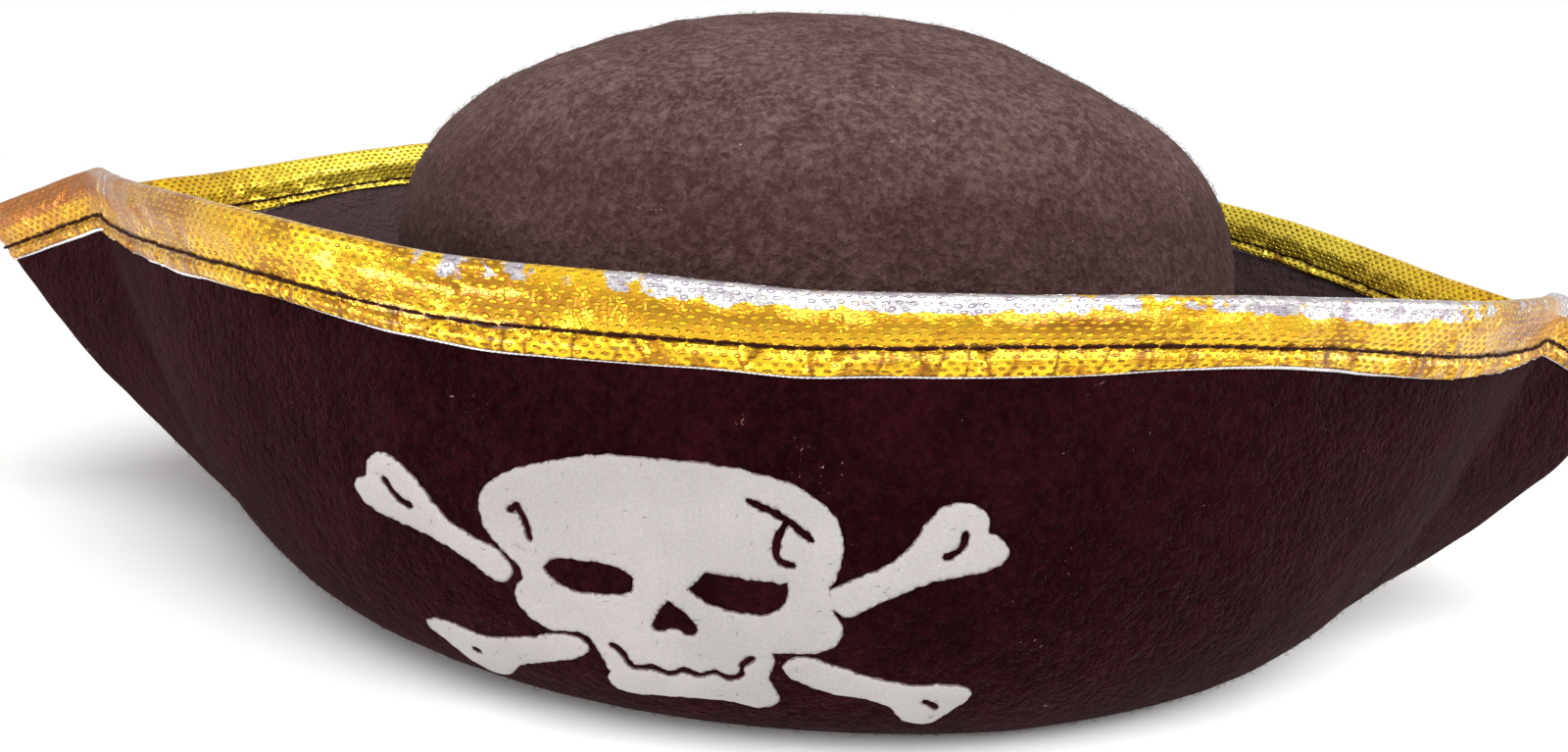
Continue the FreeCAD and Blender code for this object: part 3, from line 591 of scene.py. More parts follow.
def floor_material():
    shader = Shader("studio_floor", Specular_IOR_Level=0.1)
    tone = shader.noise(2.5, 2)
    return shader.connect(
        Base_Color=shader.blend(tone, FLOOR_DEEP, FLOOR_PALE),
        Roughness=shader.span(tone, 0.3, 0.7, 0.9, 0.98))


# ---- Felt pieces ----
FOLD_STEPS = 8
FLAP_ROWS = 64
# Share of painted light given to the brim's inner face.
INNER_PAINTED_LIGHT = 0.8
CROWN_TURNS, CROWN_ROWS = 480, 52
CROWN_DENTS = ((0.55, 75, 21), (0.10, 16, 22))
DENTS_START, DENTS_FADE = 12, 30
# Painted shade on the crown: its largest share, the height where it starts and the depth over which
# it grows towards the foot.
CROWN_PAINTED_SHADE, CROWN_PAINTED_SHADE_TOP, CROWN_PAINTED_SHADE_DEPTH = 0.6, 106, 34
FUZZ_SCATTER, FUZZ_ROOT = 0.6, 0.08
# Where the rings of a strand lie along it, and their radii
STRAND_RINGS = ((0.0, 0.035), (0.4, 0.032), (0.75, 0.026), (1.0, 0.012))
STRAND_SIDES = 3


def add_brim(flaps, material):
    """Collar, inner fold, flat ring and turned-up flaps in one closed skin."""
    fold = INNER_FOLD_RADIUS
    centre = OPENING_RADIUS + fold

    def foot(inset):
        bend = fold - inset
        sections = [(OPENING_RADIUS + inset, h) for h in np.linspace(COLLAR_HEIGHT, fold, 6)]
        for angle in np.linspace(0, math.pi / 2, FOLD_STEPS)[1:]:
            sections.append((centre - bend * math.cos(angle), fold - bend * math.sin(angle)))
        sections += [(r, inset) for r in np.linspace(centre, RING_RADIUS, 5)[1:]]
        return np.stack([flaps.circle(r, h) for r, h in sections], 1)

    shares = np.linspace(1, 0, FLAP_ROWS)[1:] ** 1.25
    depths = flaps.depths[:, -1:] * shares
    outer, inner = flaps.rows(depths, 0.0), flaps.rows(depths, -FELT_THICK)
    rim = flaps.over_rim(0.0, np.linspace(0, math.pi, 7)[1:-1])
    below, above = foot(0.0), foot(FELT_THICK)
    grid = np.concatenate([below, outer, rim, inner[:, ::-1], above[:, ::-1]], 1)
    piece = add_grid_piece("felt_brim", grid, (True, True), material)
    # Painted light: the brim's inner face is made paler, standing in for the light that falls on it.
    painted_light_and_shade = np.zeros(grid.shape[:2])
    painted_light_and_shade[:, -above.shape[1] - inner.shape[1]:-above.shape[1]] = INNER_PAINTED_LIGHT
    add_values(piece, "painted_light_and_shade", painted_light_and_shade)
    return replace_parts(piece, "brim")


def crown_section(inset, rows):
    """Radii and heights of the dome's section, from the crest down to the hem."""
    outer = OPENING_RADIUS + 2 * FELT_THICK
    across = outer - SHOULDER_RADIUS
    drop = CROWN_HEIGHT - CROWN_SIDE_HEIGHT
    top = (across ** 2 + drop ** 2 - SHOULDER_RADIUS ** 2) / (2 * (drop - SHOULDER_RADIUS))
    lean = math.atan2(top - drop, across)
    dome = np.linspace(math.pi / 2, lean, rows)[1:]
    bend = np.linspace(lean, 0, rows)[1:]
    side = np.linspace(CROWN_SIDE_HEIGHT, INNER_FOLD_RADIUS, rows)[1:]
    radii = np.concatenate([(top - inset) * np.cos(dome),
                            across + (SHOULDER_RADIUS - inset) * np.cos(bend),
                            np.full(rows - 1, outer - inset)])
    heights = np.concatenate([CROWN_HEIGHT - top + (top - inset) * np.sin(dome),
                              CROWN_SIDE_HEIGHT + (SHOULDER_RADIUS - inset) * np.sin(bend), side])
    return radii, heights


def crown_grid(inset):
    radii, heights = crown_section(inset, CROWN_ROWS)
    ring = outward(np.arange(CROWN_TURNS) * 360 / CROWN_TURNS)
    grid = ring[:, None] * radii[None, :, None]
    grid[..., 2] = heights
    middle = np.array((0, 0, 55.0))
    away = unit(grid - middle)
    guide = middle + away * 90
    slack = ramp(grid[..., 2:] - DENTS_START, DENTS_FADE)
    return grid + away * ripples(guide, CROWN_DENTS)[..., None] * slack


def add_crown(material):
    """The blocked dome, outside and inside, closed at its hem and crest."""
    outer, inner = crown_grid(0.0), crown_grid(FELT_THICK)
    grid = np.concatenate([outer, inner[:, ::-1]], 1)
    rows, columns = grid.shape[:2]
    faces = grid_faces(rows, columns, True, False).tolist()
    crests = [grid[:, 0].mean(0), grid[:, -1].mean(0)]
    crests[0][2] = CROWN_HEIGHT + (grid[:, 0, 2].mean() - CROWN_HEIGHT) * 0.6
    vertices = np.concatenate([grid.reshape(-1, 3), np.array(crests)])
    for top, column in ((rows * columns, 0), (rows * columns + 1, columns - 1)):
        for j in range(rows):
            faces.append((j * columns + column, ((j + 1) % rows) * columns + column, top))
    piece = add_piece("felt_crown", vertices, faces, material)
    # Painted shade: the crown's colour darkens towards its foot, where the flaps shade it.
    fade = (CROWN_PAINTED_SHADE_TOP - vertices[:, 2]) / CROWN_PAINTED_SHADE_DEPTH
    add_values(piece, "painted_light_and_shade", np.clip(fade, 0, CROWN_PAINTED_SHADE))
    recalculate_normals(piece)
    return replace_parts(piece, "crown")


def add_fuzz(name, grid, count, length, seed, material):
    """Short stray fibres that stand a little off the felt, as thin three-sided strands."""
    dice = np.random.default_rng(seed)
    places, normals = grid.reshape(-1, 3), grid_normals(grid).reshape(-1, 3)
    weights = np.linalg.norm(places[:, :2], axis=1) + 2
    chosen = dice.choice(len(places), count, p=weights / weights.sum())
    base, away = places[chosen], normals[chosen]
    root = base + dice.normal(0, FUZZ_SCATTER, (count, 3))
    away *= np.sign((away * (base - (0, 0, 40))).sum(1))[:, None]
    root -= away * ((root - base) * away).sum(1)[:, None]
    lay = unit(np.cross(away, dice.normal(size=(count, 3))))
    curl = unit(np.cross(away, lay))
    reach = dice.uniform(0.5, 1.0, (count, 1)) * length
    lift = dice.uniform(0.15, 0.6, (count, 1)) * reach
    bend = dice.uniform(-0.5, 0.5, (count, 1)) * reach
    corners = []
    for along, radius in STRAND_RINGS:
        centre = (root - away * FUZZ_ROOT + lay * reach * along
                  + away * lift * np.sin(along * 2.2) + curl * bend * along ** 2)
        for turn in np.arange(STRAND_SIDES) * 2 * math.pi / STRAND_SIDES:
            corners.append(centre + (curl * math.cos(turn) + away * math.sin(turn)) * radius)
    faces = [face[::-1] for face in tube_faces(len(STRAND_RINGS), STRAND_SIDES, count)]
    return add_piece(name, np.stack(corners, 1).reshape(-1, 3), faces, material)


# ---- Edge binding ----
PUCKER_PITCH, PUCKER_REACH = 9.0, 8
# Lift of the foil off the felt, its bulges below the rim and past the seam, and how much the
# seam pulls it down
TAPE_LIFT, RIM_BULGE, SEAM_BULGE = 0.42, (0.55, 3.4, 1.7), (0.30, 2.0, 0.9)
SEAM_PINCH, LEAST_LIFT = (0.75, 0.0, 0.8), 0.26
# Where along x the foil turns coppery, and along y where the rear tape gets a painted highlight
COPPER_START, COPPER_FADE, REAR_HIGHLIGHT_START, REAR_HIGHLIGHT_FADE = 84, 55, 10, 40
OVER_ANGLES = np.linspace(0, math.pi, 15)
OVER_RADIUS = FELT_THICK / 2 + 0.5


def tape_legs(rim):
    """The outer leg's length below each rim point."""
    x = rim[:, 0]
    corner = TAPE_CORNER_EXTRA * ramp(np.abs(x) - TAPE_CORNER_START, TAPE_CORNER_REACH)
    front = ramp(TAPE_FRONT_END - rim[:, 1], TAPE_FRONT_FADE)
    return TAPE_LEG + front * (corner - bulge(x, *TAPE_NARROW))


class Tape:
    """Where the folded tape lies: its lift off the felt and the length of its legs."""

    def __init__(self, flaps, share, seed):
        self.flaps = flaps
        dice = np.random.default_rng(seed)
        count = int(flaps.length / PUCKER_PITCH)
        at = (np.arange(count) + dice.uniform(-0.35, 0.35, count)) * PUCKER_PITCH
        height = dice.uniform(0.0, 1.0, count) ** 1.4 * 0.85
        width = dice.uniform(0.5, 1.1, count)
        slant = dice.uniform(-0.8, 0.8, count)
        self.puckers = np.stack([at, height, width, slant], 1)
        self.seed = seed
        self.circle = outward(flaps.along / flaps.length * 360) * flaps.length / (2 * math.pi)
        cut = ripples(self.circle, ((0.40, 75, seed + 1), (0.08, 14, seed + 2)))
        legs = tape_legs(flaps.grid[:, -1])
        self.leg = (legs * share + cut)[:, None]
        self.stitch = (legs - TAPE_STITCH_INSET)[:, None]

    def lift(self, depths):
        """Height of the foil's outer face off the felt, at depths below the rim."""
        depths = np.broadcast_to(depths, (STATIONS, np.shape(depths)[-1]))
        stitch = self.stitch
        full = TAPE_LIFT + bulge(depths, *RIM_BULGE) + bulge(depths - stitch, *SEAM_BULGE)
        pinch = 1 - bulge(depths - stitch, *SEAM_PINCH)
        place = self.circle[:, None] + depths[..., None] * np.array((0, 0, 1.0))
        crumple = ripples(place, ((0.11, 9, self.seed + 3), (0.04, 3.4, self.seed + 4)))
        total = full + crumple * np.clip(depths / 3, 0.25, 1)
        half = self.flaps.length / 2
        for at, height, width, slant in self.puckers:
            gap = (self.flaps.along - at + half) % self.flaps.length - half
            near = np.abs(gap) < PUCKER_REACH
            below = depths[near] - stitch[near]
            off = gap[near, None] - slant * below
            fade = 1 / (1 + np.exp(-(below + 0.8) * 2.2))
            up = 1 - 0.8 * bell(below, 0.5)
            above = 0.35 * bell(below + 2.2, 1.3)
            total[near] += height * bell(off, width * 0.5) * (fade + above) * up
        return np.maximum(total * pinch, LEAST_LIFT)

    def section(self, extra, sunk):
        """Depths and lifts across one leg, from its free edge up to the rim."""
        rows = np.linspace(1, 0, 27)[:-1] ** 0.9
        depths = (self.leg + extra) * rows
        lifts = self.lift(depths) - sunk
        free = 1 - np.clip(rows - 0.93, 0, 1) * 4.0
        return depths, np.maximum(lifts * free, 0.03 if sunk else 0.2)


def tape_grid(outer, inner, extra, sunk):
    """One face of the folded tape and its flat (along, across) places. Across is scaled
    so that the seam is at SEAM_ACROSS all along."""
    flaps = outer.flaps
    depths_out, lifts_out = outer.section(extra, sunk)
    depths_in, lifts_in = inner.section(extra, sunk)
    leg_out = flaps.rows(depths_out, lifts_out)
    leg_in = flaps.rows(depths_in, -FELT_THICK - lifts_in)
    start, end = (tape.lift(np.array([0.0])) - sunk for tape in (outer, inner))
    share = OVER_ANGLES[None] / math.pi
    lifts = start * (1 - share) + end * share
    over = flaps.over_rim(lifts, OVER_ANGLES)
    grid = np.concatenate([leg_out, over, leg_in[:, ::-1]], 1)
    arc = OVER_RADIUS * (OVER_ANGLES[None] - math.pi / 2)
    scale = (SEAM_ACROSS - FOLD_HALF) / outer.stitch
    across = np.concatenate([depths_out * scale + FOLD_HALF, -arc + np.zeros((STATIONS, 1)),
                             -(depths_in * scale)[:, ::-1] - FOLD_HALF], 1)
    along = np.broadcast_to(flaps.along[:, None], across.shape)
    return grid, np.stack([along, across], -1)


def add_tape_layer(name, grid, flat, thick, material, node):
    piece = add_grid_piece(name, grid, (True, False), material)
    wall = piece.modifiers.new("thickness", "SOLIDIFY")
    wall.thickness = thick * MM
    wall.offset = -1.0
    add_uv(piece, "tape", flat, flat[-1, 0, 0] * STATIONS / (STATIONS - 1))
    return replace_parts(piece, node)


def add_binding(flaps, foil, cloth):
    """Foil and its white backing, folded over the rim."""
    outer, inner = Tape(flaps, 1.0, 31), Tape(flaps, TAPE_INNER_SHARE, 57)
    grid, flat = tape_grid(outer, inner, 0.0, 0.0)
    top = add_tape_layer("binding_foil", grid, flat, FOIL_THICK, foil, "edge_binding")
    across = flat[..., 1]
    x, y = flaps.grid[:, -1, :1], flaps.grid[:, -1, 1:2]
    front = y < FRONT_FOLD[1]
    # Painted highlight along the top fold of the front tape, growing towards the right and broken
    # into patches.
    patchy = ripple(outer.circle, 46, 41)[:, None]
    band = np.clip((x + 80) / 95, 0.06, 0.80) * front * (1 - 0.35 * bell(x - 140, 35))
    top_band = 1 / (1 + np.exp((np.abs(across - 1.6) - 2.6 - 0.5 * patchy) * 2.4))
    add_values(top, "painted_top_highlight", top_band * np.clip(band + 0.26 * patchy, 0, 1) * 0.86)
    middle = bell(across - 6.2, 2.6) * (0.25 + 0.42 * ripple(outer.circle, 52, 43)[:, None])
    add_values(top, "dull", np.clip(middle, 0, 1))
    corner = ramp(np.abs(x) - COPPER_START, COPPER_FADE) * ramp(-y, 20)
    corner = corner * np.where(x < 0, 1.0, 0.6)
    add_values(top, "copper", corner * (0.6 + 0.4 * (np.abs(across) < 7)))
    # Painted highlight on the rear tape's inner face.
    rear = ramp(y - REAR_HIGHLIGHT_START, REAR_HIGHLIGHT_FADE) * 0.85
    add_values(top, "painted_rear_highlight", rear * np.clip(0.5 - across / 3, 0, 1))
    show = 0.24 + 0.20 * ripple(outer.circle, 70, 44)[:, None]
    grid, flat = tape_grid(outer, inner, np.clip(show, 0.02, 0.6), FOIL_THICK + 0.03)
    under = add_tape_layer("binding_cloth", grid, flat, BACKING_THICK, cloth,
                           "binding_backing")
    return outer, inner


# ---- Threads ----
STITCH_RINGS, STITCH_SIDES = 9, 8
# Depth of a stitch's ends and rise of its middle, in thread radii, and how round its arch is
STITCH_ENDS, STITCH_RISE, STITCH_ROUND = -1.3, 1.9, 0.4
STITCH_WANDER, PLY_DEPTH, PLY_TWIST = 0.05, 0.16, 9.0


def add_stitches(name, path, normals, radius, count, material, node):
    """Lockstitches along a closed path: each rises out of the cloth and dives back."""
    lengths = lengths_along(np.concatenate([path, path[:1]]))
    pitch = lengths[-1] / count
    share = np.linspace(0, 1, STITCH_RINGS)
    at = (np.arange(count)[:, None] + share * STITCH_SHARE) * pitch

    def read(values):
        loop = np.concatenate([values, values[:1]])
        return np.stack([np.interp(at, lengths, column) for column in loop.T], -1)

    centre, away = read(path), unit(read(normals))
    dice = np.random.default_rng(len(path) + count)
    hump = np.sin(math.pi * share) ** STITCH_ROUND
    arch = radius * (STITCH_ENDS + STITCH_RISE * hump)
    centre = centre + away * arch[None, :, None]
    ahead = unit(np.gradient(centre, axis=1))
    side = unit(np.cross(ahead, away))
    centre = centre + side * dice.normal(0, STITCH_WANDER, (count, 1, 1))
    up = np.cross(side, ahead)
    turn = np.arange(STITCH_SIDES) * 2 * math.pi / STITCH_SIDES
    ply = 1 + PLY_DEPTH * np.cos(2 * (turn[None, :] - share[:, None] * PLY_TWIST))
    radius = radius * (0.55 + 0.45 * hump)[:, None] * ply
    tube = (centre[:, :, None] + side[:, :, None] * (radius * np.cos(turn))[None, ..., None]
            + up[:, :, None] * (radius * np.sin(turn))[None, ..., None])
    faces = tube_faces(STITCH_RINGS, STITCH_SIDES, count)
    block = STITCH_RINGS * STITCH_SIDES
    for k in range(count):
        faces.append([k * block + s for s in range(STITCH_SIDES)])
        faces.append([(k + 1) * block - 1 - s for s in range(STITCH_SIDES)])
    piece = add_piece(name, tube.reshape(-1, 3), faces, material)
    recalculate_normals(piece)
    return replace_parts(piece, node)


def add_threads(flaps, outer, inner, material):
    depth = outer.stitch
    sits = THREAD_RADIUS * 0.75
    face = flaps.rows(depth, outer.lift(depth) + sits)[:, 0]
    away = unit(face - flaps.rows(depth, np.zeros((1, 1)))[:, 0])
    back = flaps.rows(depth, -FELT_THICK - inner.lift(depth) - sits)[:, 0]
    radial = outward(flaps.turn)
    outer_hem = flaps.circle(OPENING_RADIUS + 2 * FELT_THICK + BAND_THREAD_RADIUS,
                             BAND_STITCH_HEIGHT)
    inner_hem = flaps.circle(OPENING_RADIUS - BAND_GAP - BAND_THICK - BAND_THREAD_RADIUS,
                             BAND_STITCH_HEIGHT)
    tape, band = (THREAD_RADIUS, TAPE_STITCHES), (BAND_THREAD_RADIUS, BAND_STITCHES)
    seams = [
        ("binding_seam_outside", face, away, *tape, "binding_needle_thread"),
        ("binding_seam_inside", back, -away, *tape, "binding_bobbin_thread"),
        ("crown_seam_outside", outer_hem, radial, *band, "sweatband_needle_thread"),
        ("crown_seam_inside", inner_hem, -radial, *band, "sweatband_bobbin_thread"),
    ]
    for name, path, normals, radius, count, node in seams:
        add_stitches(name, path, normals, radius, count, material, node)


# ---- Sweatband ----
def add_sweatband(material):
    """A ribbon with turned edges, eased a little off the crown between its seam and top."""
    turns = outward(np.arange(720) * 0.5)
    heights = np.linspace(BAND_FOOT, BAND_TOP, 26)
    outer = OPENING_RADIUS - BAND_GAP
    free = ramp(heights - BAND_STITCH_HEIGHT, 20)
    ease = (0.35 + 0.3 * ripple(turns * 92, 70, 61)[:, None]) * free
    pinch = 0.18 * bell(heights - BAND_STITCH_HEIGHT, 1.0)
    hem = 0.25 * bell(heights - BAND_TOP, 1.6)
    wall = outer - np.clip(ease, 0, 1)
    face = wall - BAND_THICK + pinch - hem

    def ring_wall(radii):
        grid = turns[:, None] * radii[..., None]
        grid[..., 2] = heights
        return grid

    grid = np.concatenate([ring_wall(face), ring_wall(wall)[:, ::-1]], 1)
    piece = add_grid_piece("sweatband_ribbon", grid, (True, True), material)
    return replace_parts(piece, "sweatband")


# ---- The print: skull and bones, drawn flat (x to the right, y up) ----
# Each outline is a list of smooth stretches. A stretch ends where the next one starts.
SKULL = [
    [(24, 3), (25.5, 7), (25.4, 11), (23.3, 14.8), (18.7, 17.9), (11.5, 19.7), (0, 20.4), (-10, 20),
     (-18.2, 18.2), (-25, 15.6), (-28.8, 12.2), (-28.8, 7.5), (-25.9, 3.7), (-22.5, 0.6)],
    [(-22, -0.8), (-23.3, -3.5), (-21.2, -7.2), (-16.4, -8.9), (-12, -8.8)],
    [(-11, -9.4), (-9.5, -12)],
    [(-8, -15), (-8.4, -17), (-7, -18.8), (-1.3, -19.1), (5, -18.5), (12, -18.6), (16.5, -18.8),
     (18, -17.3), (17.2, -14.4), (16.4, -11.8), (16.9, -9.2)],
    [(16.5, -7.9), (20, -7.6), (24.6, -6.7), (26.6, -4.2), (25.6, -1.2)],
    [(24.8, 0), (27, -1.1), (29.2, 0), (34.5, 3), (41.6, 6), (47.5, 7.6), (49.6, 10.2),
     (48.6, 12.1)],
    [(46.5, 13.2), (46, 15.6), (42.6, 17.3), (38.4, 15.7), (36.2, 12.2), (33.5, 8.5), (28.6, 5.6)]]
LEFT_EYE = [
    [(-18.6, 1.6), (-17.5, 2.8), (-12, 3.7), (-7, 3.3)],
    [(-4.7, 2), (-4.8, 0.2), (-6.3, -0.7), (-12.4, -1.2), (-16.5, -0.3)]]
RIGHT_EYE = [
    [(3.5, 1.5)],
    [(6.1, 4.2), (12, 3.8)],
    [(17.8, 3.6), (17.9, 0.8), (16.5, -0.9), (12.2, -1.7), (7, -0.7)]]
NOSE = [
    [(0.7, -0.8), (3.7, -2.8)],
    [(5.2, -5), (4.8, -5.8), (1.5, -5.2), (-0.6, -6)],
    [(-1.5, -5), (-0.9, -3)]]
MOUTH = [(-7.7, -9.7), (-6.4, -10.4), (-5.4, -11.9), (-4, -13.1), (-1.5, -12.7), (1.3, -13.5),
         (3.3, -12.5), (6, -13.1), (8, -12.2), (10.3, -12.9), (12, -12.2), (12.3, -10.3),
         (13.5, -9.1)]
SMALL_CRACK = [(-22.9, 10.7), (-21.7, 8.6), (-20.8, 5.9)]
SMALL_CRACK_HEAD = [(-24.1, 10), (-22.8, 10.9)]
LARGE_CRACK = [(11.5, 15.4), (16.4, 13.4), (20.8, 10.4)]
CRACK_BRANCH = [(17, 12.6), (16, 10.2), (15.9, 8), (17, 6.8), (18.4, 6.4)]
UPPER_RIGHT_SLIT = [(40.6, 9.1), (42, 9.9), (42.9, 11.3), (43.1, 12.7)]
UPPER_LEFT = [
    [(-49, 11), (-49, 13), (-46.8, 15.2), (-42.7, 14.4), (-38.4, 10.9), (-34.7, 7.1), (-28.7, 4.1),
     (-24.3, 1.6), (-23.7, -1), (-25.3, -2.1), (-29.2, -0.6), (-38.3, 3.4), (-45.6, 5),
     (-50.6, 7.5), (-51.3, 9.4), (-50.3, 10.5)]]
UPPER_LEFT_SLIT = [(-45.4, 11.1), (-44, 9.4), (-40.8, 7.7)]
LOWER_LEFT = [
    [(-40.2, -13.3), (-37.3, -12.2), (-31, -13.1), (-25, -12.4), (-19, -10.4), (-15, -9.2),
     (-12.5, -9.8), (-11.3, -11.4), (-12.6, -13), (-20, -16.5), (-23.5, -18.6), (-25.5, -22),
     (-28.5, -23.8), (-31.5, -22.4), (-36.4, -17.4)],
    [(-39.5, -15)]]
LOWER_LEFT_HOLE = [(-31.5, -17), (-30.7, -17.4)]
LOWER_RIGHT = [
    [(18, -10.4), (19.2, -8.7), (21, -8.2), (27, -9.8), (32, -11.1), (39.4, -12.3), (44.7, -12.1),
     (47, -13.2), (46.5, -15), (43.9, -18.4), (41, -21.4), (37.6, -20.8), (35.5, -17.9),
     (31.2, -15.6), (24, -14.2)],
    [(19.2, -12.1)]]
LOWER_RIGHT_HOLE = [(40.2, -15.7), (41, -16.1), (41.9, -17)]
STROKE_WIDTH = 1.0
PRINT_STEP = 0.4
PRINT_CELL = 1.0
PRINT_TOP, PRINT_ROUNDING, ROUNDING_REACH = 0.34, 0.16, 0.35
SCUFF_REACH = 0.22


def smooth_line(points):
    """A natural cubic curve through a stretch's points, evenly sampled, without its end."""
    points = np.array(points, float)
    count = len(points)
    knots = lengths_along(points)
    spans = np.diff(knots)
    matrix = np.eye(count)
    target = np.zeros((count, 2))
    for k in range(1, count - 1):
        matrix[k, k - 1:k + 2] = spans[k - 1], 2 * (spans[k - 1] + spans[k]), spans[k]
        rises = np.diff(points[k - 1:k + 2], axis=0) / spans[k - 1:k + 1, None]
        target[k] = 6 * (rises[1] - rises[0])
    bends = np.linalg.solve(matrix, target)
    at = np.linspace(0, knots[-1], max(2, int(knots[-1] / PRINT_STEP)), endpoint=False)
    k = np.clip(np.searchsorted(knots, at, "right") - 1, 0, count - 2)
    span = spans[k][:, None]
    a, b = (knots[k + 1] - at)[:, None] / span, (at - knots[k])[:, None] / span
    curve = a * points[k] + b * points[k + 1]
    return curve + ((a ** 3 - a) * bends[k] + (b ** 3 - b) * bends[k + 1]) * span ** 2 / 6


def stroke(points, width):
    """The outline of a round-ended brush stroke of one width along a few points."""
    points = np.array(points, float)
    around = points[[0, *range(len(points)), -1]]
    ahead = unit(around[2:] - around[:-2]) * width / 2
    side = np.stack([ahead[:, 1], -ahead[:, 0]], 1)
    right, left = points + side, (points - side)[::-1]
    return [right[:-1], [right[-1], points[-1] + ahead[-1]],
            left[:-1], [left[-1], points[0] - ahead[0]]]


def outline_ring(stretches, seed):
    """A closed outline with the soft uneven edge of a flocked print."""
    ends = [stretch[0] for stretch in stretches[1:] + stretches[:1]]
    ring = np.concatenate([smooth_line([*line, end]) for line, end in zip(stretches, ends)])
    ahead = np.roll(ring, -1, 0) - np.roll(ring, 1, 0)
    side = unit(np.stack([ahead[:, 1], -ahead[:, 0]], 1))
    flat = np.concatenate([ring, np.zeros((len(ring), 1))], 1)
    rough = ripples(flat, ((0.07, 1.6, seed), (0.05, 5, seed + 1)))
    ring = ring + side * rough[:, None]
    area = (ring[:, 0] * np.roll(ring[:, 1], -1) - np.roll(ring[:, 0], -1) * ring[:, 1]).sum()
    return ring if area > 0 else ring[::-1]


def flat_print(outline, holes, seed):
    """The print's flat triangles between its outline and its holes, with inner points close
    enough together to follow a curved face, and the outlines' points."""
    rings = [outline_ring(stretches, seed + 7 * k) for k, stretches in enumerate([outline] + holes)]
    starts = np.cumsum([0] + [len(ring) for ring in rings])
    loops = [list(range(a, b)) for a, b in zip(starts, starts[1:])]
    low, high = rings[0].min(0), rings[0].max(0)
    columns = np.arange(low[0], high[0], PRINT_CELL)
    inner = [(x + (k % 2) * PRINT_CELL / 2, y) for k, y in enumerate(
        np.arange(low[1], high[1], PRINT_CELL * 0.87)) for x in columns]
    points = [Vector(p) for p in np.concatenate(rings)] + [Vector(p) for p in inner]
    flat, _, triangles, _, _, within = delaunay_2d_cdt(points, [], loops, 0, 1e-5)
    kept = [t for t, owners in zip(triangles, within) if set(owners) == {0}]
    return flat, kept, np.concatenate(rings)


class FrontFace:
    """Lays flat artwork on the front flap, seen straight from the front."""

    def __init__(self, flaps):
        reach = STATIONS // 7
        index = np.arange(-reach, reach)
        patch = flaps.grid[index]
        self.depths = flaps.depths[0]
        self.heights = flaps.grid[0, ::-1, 2]
        faces = grid_faces(*patch.shape[:2], False, False).tolist()
        self.tree = BVHTree.FromPolygons(patch.reshape(-1, 3).tolist(), faces)

    def lay(self, x, y):
        """Place and outward normal on the felt of an artwork point."""
        height = np.interp(PRINT_DEPTH - y, self.depths, self.heights)
        start = Vector((x + PRINT_OFFSET, -2 * ROLL_RADIUS, height))
        place, normal, _, _ = self.tree.ray_cast(start, Vector((0, 1, 0)))
        return place, normal if normal.y < 0 else -normal


def add_print(face, name, node, outline, holes, seed, material):
    """One flocked shape: a thin slab with a rounded, scuffed edge."""
    flat, triangles, edge_points = flat_print(outline, holes, seed)
    work = bmesh.new()
    corners = {k: work.verts.new((*flat[k], 0)) for k in sorted({k for t in triangles for k in t})}
    bottom = [work.faces.new([corners[k] for k in t]) for t in triangles]
    top = bmesh.ops.extrude_face_region(work, geom=bottom)["geom"]
    raised = {item for item in top if isinstance(item, bmesh.types.BMVert)}
    edge_near = {}
    for vertex in work.verts:
        x, y = vertex.co.x, vertex.co.y
        gap = np.sqrt(((edge_points - (x, y)) ** 2).sum(1).min())
        place, normal = face.lay(x, y)
        up = vertex in raised
        rise = PRINT_TOP - PRINT_ROUNDING * math.exp(-gap / ROUNDING_REACH)
        vertex.co = place + normal * (rise if up else 0.0)
        edge_near[vertex] = math.exp(-gap / SCUFF_REACH) if up else 1.0
    bmesh.ops.recalc_face_normals(work, faces=work.faces)
    work.verts.index_update()
    values = [edge_near[v] for v in work.verts]
    mesh = bpy.data.meshes.new(name)
    work.to_mesh(mesh)
    work.free()
    mesh.transform(Matrix.Scale(MM, 4))
    piece = link_piece(name, mesh, material)
    add_values(piece, "edge", values)
    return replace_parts(piece, node)


def add_prints(flaps, material):
    face = FrontFace(flaps)

    def strokes(*lines):
        return [stroke(line, STROKE_WIDTH) for line in lines]

    skull_holes = [LEFT_EYE, RIGHT_EYE, NOSE] + strokes(
        MOUTH, SMALL_CRACK, SMALL_CRACK_HEAD, LARGE_CRACK, CRACK_BRANCH, UPPER_RIGHT_SLIT)
    shapes = [
        ("flocked_skull", "skull_print", SKULL, skull_holes),
        ("flocked_bone_upper_left", "bone_print_upper_left", UPPER_LEFT,
         strokes(UPPER_LEFT_SLIT)),
        ("flocked_bone_lower_left", "bone_print_lower_left", LOWER_LEFT,
         strokes(LOWER_LEFT_HOLE)),
        ("flocked_bone_lower_right", "bone_print_lower_right", LOWER_RIGHT,
         strokes(LOWER_RIGHT_HOLE)),
    ]
    for k, (name, node, outline, holes) in enumerate(shapes):
        add_print(face, name, node, outline, holes, 71 + 100 * k, material)


# ---- Studio: floor, light and camera ----
FILL_STRENGTH, SHINE_STRENGTH = 0.24, 0.76
SKY_COLOUR, WHITE = (1.0, 0.99, 0.985), (1.0, 1.0, 1.0)
FLOOR_RADIUS, FLOOR_DROP = 6.0, 0.0003
SUN_ENERGY, SUN_SPREAD, SUN_TILT = 3.25, 50, (36, 18, 0)
LIGHT_TARGET = Vector((0, 0, 0.06))
SOFTBOX_SIZE = 0.6
